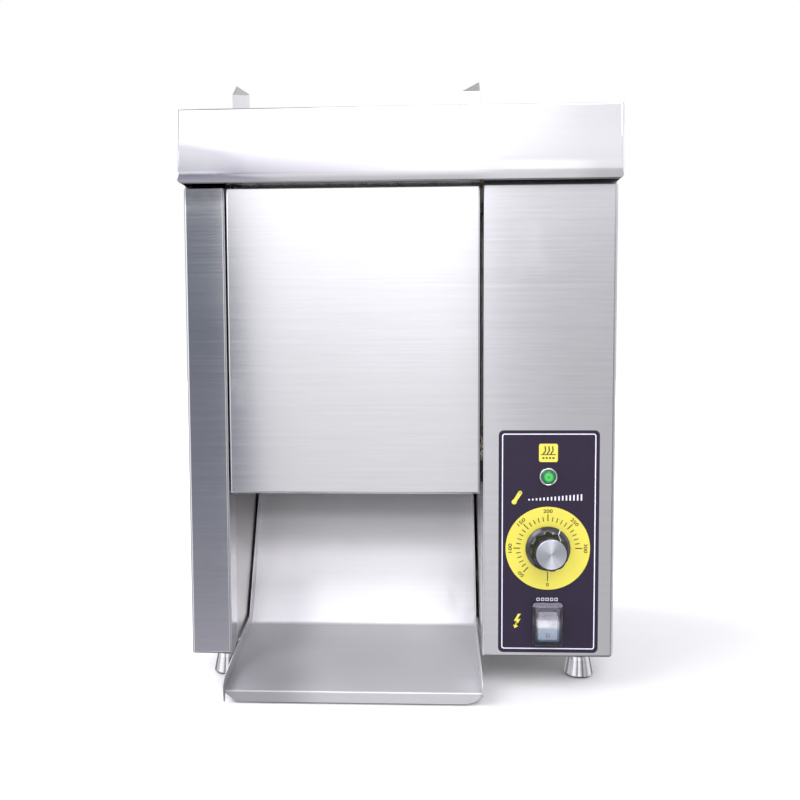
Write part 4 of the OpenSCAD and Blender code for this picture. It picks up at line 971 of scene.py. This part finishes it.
# ------------------------------------------------------------------ fan guard
def make_guard():
    V, F = [], []
    cx, cz, back = 150.0, 330.0, 301.2
    for r in (10, 19, 28, 37):
        pts = [P(cx + r * math.sin(2 * math.pi * k / 72), back + 2.4, cz + r * math.cos(2 * math.pi * k / 72)) for k in range(72)]
        wire_into(V, F, pts, 0.001, 10, True)
    for a in (45, 135, 225, 315):
        s, c = math.sin(math.radians(a)), math.cos(math.radians(a))
        # a spoke, ending in an eye round the screw
        pts = [P(cx + r * s, back + 0.85, cz + r * c) for r in (4.0, 12, 24, 36, 44.0)]
        e = 50.6
        eye = []
        for k in range(15):
            t = math.radians(180 + 20 + 320 * k / 14)
            eye.append(P(cx + e * s + 3.4 * (s * math.cos(t) + c * math.sin(t)), back + 0.85, cz + e * c + 3.4 * (c * math.cos(t) - s * math.sin(t))))
        wire_into(V, F, pts + eye, 0.0008, 8)
    # centre badge plate that the spokes are welded to
    finished(from_lists(V, F, "fan_guard_piece"), "fan_guard_piece", MAT["chrome"], "housing", ("fan_guard",), smooth=60)
    bm = bmesh.new()
    lathe_into(bm, profile([(0, back + 0.1, 0), (6.5, back + 0.1, 0), (6.5, back + 1.5, 0.4), (0, back + 1.9, 0)]), (cx, cz), seg=48)
    for a in (45, 135, 225, 315):
        s, c = math.sin(math.radians(a)), math.cos(math.radians(a))
        e = 50.6
        lathe_into(bm, profile([(0, back - 1.0, 0), (1.7, back - 1.0, 0), (1.7, back + 0.2, 0), (3.1, back + 1.5, 0), (3.3, back + 1.8, 0.2), (2.4, back + 3.0, 0.8), (0.9, back + 3.2, 0), (0.9, back + 2.0, 0), (0, back + 2.0, 0)]),
                   (cx + e * s, cz + e * c), seg=28)
    finished(to_mesh(bm, "fan_guard_screws"), "fan_guard_screws", MAT["plated_steel"], "housing")


make_guard()


# ------------------------------------------------------------------ feet
def make_feet():
    bm, rb = bmesh.new(), bmesh.new()

    def knurl(r, z, a):
        if 23.5 < z < 31.5 and r > 10:
            return r - 0.35 * (0.5 + 0.5 * math.cos(36 * a))
        return r
    for x in (-190, 190):
        for d in (45, 262):
            lathe_into(bm, profile([(0, 2.2, 0), (13.9, 2.2, 0), (15.0, 2.2, 0), (15.0, 3.4, 0.4), (14.7, 4.6, 0.8), (11.9, 18.5, 2.0), (11.0, 22.0, 0.8), (10.4, 22.6, 0.3), (10.4, 23.0, 0.2),
                                    (11.0, 23.4, 0.2), (11.0, 31.4, 0.3), (10.4, 32.0, 0.3), (10.4, 35.4, 0), (11.0, 35.5, 0), (11.0, 36.2, 0), (4.05, 36.2, 0), (4.05, 12.0, 0), (0, 12.0, 0)]),
                       (x, d), axis="Z", seg=144, shape=knurl)
            lathe_into(rb, profile([(0, 0.0, 0), (12.6, 0.0, 0), (13.6, 0.5, 0.6), (14.1, 2.3, 0.2), (0, 2.3, 0)]), (x, d), axis="Z", seg=72)
    finished(to_mesh(bm, "foot_pads_piece"), "foot_pads_piece", MAT["stainless_bright"], "housing", ("foot_pads",), smooth=32)
    finished(to_mesh(rb, "foot_soles"), "foot_soles", RUBBER, "housing")


make_feet()

# ------------------------------------------------------------------ the sheet metal and the rest, with broken edges
refine("chute", TRAY, bevel=0.3, seg=3)
refine("bun_feeder", FEEDER, bevel=0.10)
for v in bpy.data.objects["bun_feeder_piece"].data.vertices:
    v.co.z = min(v.co.z, 0.6282)
refine("top_cap", CAP, bevel=0.35)
# the cap's front skirt reaches a little lower, and stays upright longer: it turns in over its last 9 mm
SKIRT_Z, SKIRT_DROP = 515.5, 1.7
for v in bpy.data.objects["top_cap_piece"].data.vertices:
    d, h = v.co.y * 1000 + MID, v.co.z * 1000 - SKIRT_Z
    if d < -9 and h < 14.2:
        def run_in(r, top):
            a = min(max(top - h, 0.0) / r, math.sin(math.radians(18)))
            return r * (1 - math.sqrt(1 - a * a)) + max(0.0, top - h - r * math.sin(math.radians(18))) * math.tan(math.radians(18))
        was = run_in(38.5, 14.0)
        h -= SKIRT_DROP * min(1.0, max(0.0, (14.0 - h) / 9.0))
        v.co.z = (SKIRT_Z + h) / 1000
        v.co.y += (run_in(16.5, 7.0) - was) / 1000
refine("left_panel", POST, bevel=0.3)
EDGE = {"front_cover": 0.35, "control_cabinet": 0.3, "switch_body": 0.4, "gear_motor": 0.6, "release_sheet": 0.06, "platen": 0.8,
        "thermostat_probe": 0.0, "heater_rods": 0.4, "terminal_block": 0.35, "cable_gland": 0.5, "front_gear": 0.2, "motor_gear": 0.2, "idler_gear": 0.2, "rear_gear": 0.2,
        "fan_frame": 0.4, "fan_rotor": 0.3, "case_screws": 0.22, "lamp_nut": 0.4, "foot_studs": 0.3}
for n in NODE:
    if n not in DONE:
        refine(n, bevel=EDGE.get(n, 0.25))

# ------------------------------------------------------------------ studio
def make_world():
    w = bpy.data.worlds.new("studio")
    bpy.context.scene.world = w
    w.use_nodes = True
    t = Tree(w.node_tree)
    out = t.add("ShaderNodeOutputWorld")
    x, y, z = t.add("ShaderNodeSeparateXYZ", {0: t.add("ShaderNodeTexCoord").outputs["Generated"]}).outputs
    az = t.math("MULTIPLY", t.math("ARCTAN2", x, t.math("MULTIPLY", y, -1.0)), 180 / math.pi)   # 0 ahead of the front, + to the right
    el = t.math("MULTIPLY", t.math("ARCSINE", z), 180 / math.pi)
    e = t.maprange(el, -90, 90, 0, 1)
    # brightness by height, left and right of the camera: floor, front, ceiling
    left = t.ramp(e, [(0.00, 0.22), (0.22, 0.30), (0.32, 0.56), (0.375, 0.82), (0.43, 0.94), (0.475, 1.04), (0.50, 1.14), (0.539, 1.54), (0.56, 1.70), (0.583, 2.05), (0.60, 2.05), (0.62, 1.85), (0.70, 1.5), (0.80, 0.9), (0.90, 0.6), (1.0, 0.5)])
    right = t.ramp(e, [(0.00, 0.22), (0.22, 0.45), (0.30, 0.85), (0.36, 1.06), (0.44, 1.06), (0.50, 1.07), (0.535, 1.13), (0.548, 1.12), (0.558, 1.05), (0.573, 1.66), (0.62, 1.75), (0.70, 1.5), (0.80, 0.9), (0.90, 0.6), (1.0, 0.5)])
    high = t.mix(t.maprange(az, 2.8, 5.0, 0.0, 1.0, True), left, right)
    # brightness by direction
    side = t.ramp(t.maprange(az, -180, 180, 0, 1), [
        (0.000, 0.70), (0.08, 0.60), (0.12, 0.28), (0.19, 0.28), (0.21, 0.72), (0.285, 0.72), (0.31, 1.25), (0.375, 1.25), (0.39, 0.95), (0.4600, 0.92), (0.470, 0.93), (0.500, 0.98), (0.509, 0.94), (0.513, 0.80), (0.523, 0.66),
        (0.545, 0.62), (0.558, 0.12), (0.576, 0.14), (0.598, 0.46), (0.625, 0.66), (0.66, 0.36), (0.69, 0.55), (0.73, 0.95), (0.81, 0.95), (0.835, 0.22), (0.91, 0.22), (0.95, 0.60), (1.0, 0.70)])
    # higher up the directions run together
    over = t.maprange(el, 10.4, 13.2, 0.0, 1.0, True)
    col = t.mix(1.0, t.mix(t.math("MULTIPLY", over, 0.75), side, (0.98, 0.98, 0.98)), high, "MULTIPLY")
    top_right = t.math("MULTIPLY", t.maprange(az, 7.5, 11, 0.0, 1.0, True), t.maprange(el, 14.6, 15.6, 0.0, 1.0, True))
    col = t.mix(t.math("MULTIPLY", top_right, 0.5), col, (0.62, 0.62, 0.64))
    left_edge = t.math("MULTIPLY", t.maprange(az, -13.2, -10.6, 1.0, 0.0, True), t.math("MULTIPLY", t.maprange(el, 1, 6, 0.0, 1.0, True), t.maprange(el, 10.8, 12.2, 1.0, 0.0, True)))
    col = t.mix(t.math("MULTIPLY", left_edge, 0.30), col, t.mix(1.0, col, (0.35, 0.35, 0.36), "MULTIPLY"))
    # a dark flag to the left of the camera, lighter towards the floor, with a lit slot between its two boards
    lean = t.math("ADD", az, t.math("ADD", t.math("MULTIPLY", t.math("MAXIMUM", el, 0.0), 0.085), t.math("MULTIPLY", t.math("MINIMUM", el, 0.0), 0.05)))
    flag = t.math("MULTIPLY", t.maprange(lean, -13.75, -12.55, 1.0, 0.0, True), t.maprange(lean, -32, -22, 0.0, 1.0, True))
    slot = t.math("MULTIPLY", t.maprange(el, 11.6, 12.6, 0.0, 1.0, True), t.maprange(el, 21, 24, 1.0, 0.0, True))
    flag = t.math("MULTIPLY", flag, t.math("SUBTRACT", 1.0, slot))
    dark = t.ramp(t.maprange(el, -30, 15, 0, 1), [(0.0, (0.58, 0.58, 0.62)), (0.11, (0.54, 0.54, 0.59)), (0.233, (0.45, 0.45, 0.50)), (0.289, (0.37, 0.375, 0.415)), (0.36, (0.31, 0.32, 0.36)), (0.4356, (0.275, 0.29, 0.33)),
                                                  (0.511, (0.25, 0.27, 0.31)), (0.667, (0.215, 0.235, 0.275)), (0.822, (0.205, 0.23, 0.265)), (1.0, (0.17, 0.19, 0.22))])
    col = t.mix(flag, col, dark)
    # the softbox above the camera
    box = t.math("MULTIPLY", t.math("MULTIPLY", t.maprange(az, 34, 42, 1.0, 0.0, True), t.maprange(az, -12, -8, 0.0, 1.0, True)), t.math("MULTIPLY", t.maprange(el, 27, 33, 0.0, 1.0, True), t.maprange(el, 58, 63, 1.0, 0.0, True)))
    col = t.mix(box, col, (5.5, 5.5, 5.6))
    # a smaller one high up on the left
    box = t.math("MULTIPLY", t.math("MULTIPLY", t.maprange(az, -126, -118, 0.0, 1.0, True), t.maprange(az, -48, -42, 1.0, 0.0, True)), t.math("MULTIPLY", t.maprange(el, 30, 36, 0.0, 1.0, True), t.maprange(el, 68, 74, 1.0, 0.0, True)))
    col = t.mix(box, col, (4.2, 4.2, 4.5))
    bg = t.add("ShaderNodeBackground", {"Color": t.mix(1.0, col, (1.0, 0.995, 1.015), "MULTIPLY"), "Strength": 1.0})
    t.nt.links.new(bg.outputs[0], out.inputs[0])


make_world()


def stage_object(name, mesh, mat_):
    o = bpy.data.objects.new(name, mesh)
    bpy.context.scene.collection.objects.link(o)
    mesh.materials.append(mat_)
    return o


def make_stage():
    m, t, b = material("pale_floor", Roughness=0.7)
    n = t.noise((40, 40, 40), 3, 0.5)
    t.put(b, "Base Color", t.mix(n, (0.84, 0.84, 0.845), (0.87, 0.87, 0.875)))
    bm = bmesh.new()
    bmesh.ops.create_circle(bm, cap_ends=True, radius=9.0, segments=96)
    me = bpy.data.meshes.new("floor")
    bm.to_mesh(me)
    bm.free()
    floor = stage_object("floor", me, m)
    floor.visible_glossy = False
    # a plain backdrop that only the camera sees
    m2 = bpy.data.materials.new("backdrop")
    m2.use_nodes = True
    t = Tree(m2.node_tree)
    out = t.add("ShaderNodeOutputMaterial")
    em = t.add("ShaderNodeEmission", {"Color": (1.0, 1.0, 1.0, 1), "Strength": 1.0})
    t.nt.links.new(em.outputs[0], out.inputs[0])
    bm = bmesh.new()
    bmesh.ops.create_icosphere(bm, subdivisions=5, radius=9.5)
    me = bpy.data.meshes.new("backdrop")
    bm.to_mesh(me)
    bm.free()
    for p in me.polygons:
        p.use_smooth = True
    dome = stage_object("backdrop", me, m2)
    dome.visible_glossy = False
    dome.visible_diffuse = False
    dome.visible_transmission = False
    dome.visible_shadow = False
    dome.visible_volume_scatter = False


make_stage()
bpy.context.scene.view_settings.view_transform = "Standard"
bpy.context.scene.view_settings.look = "None"
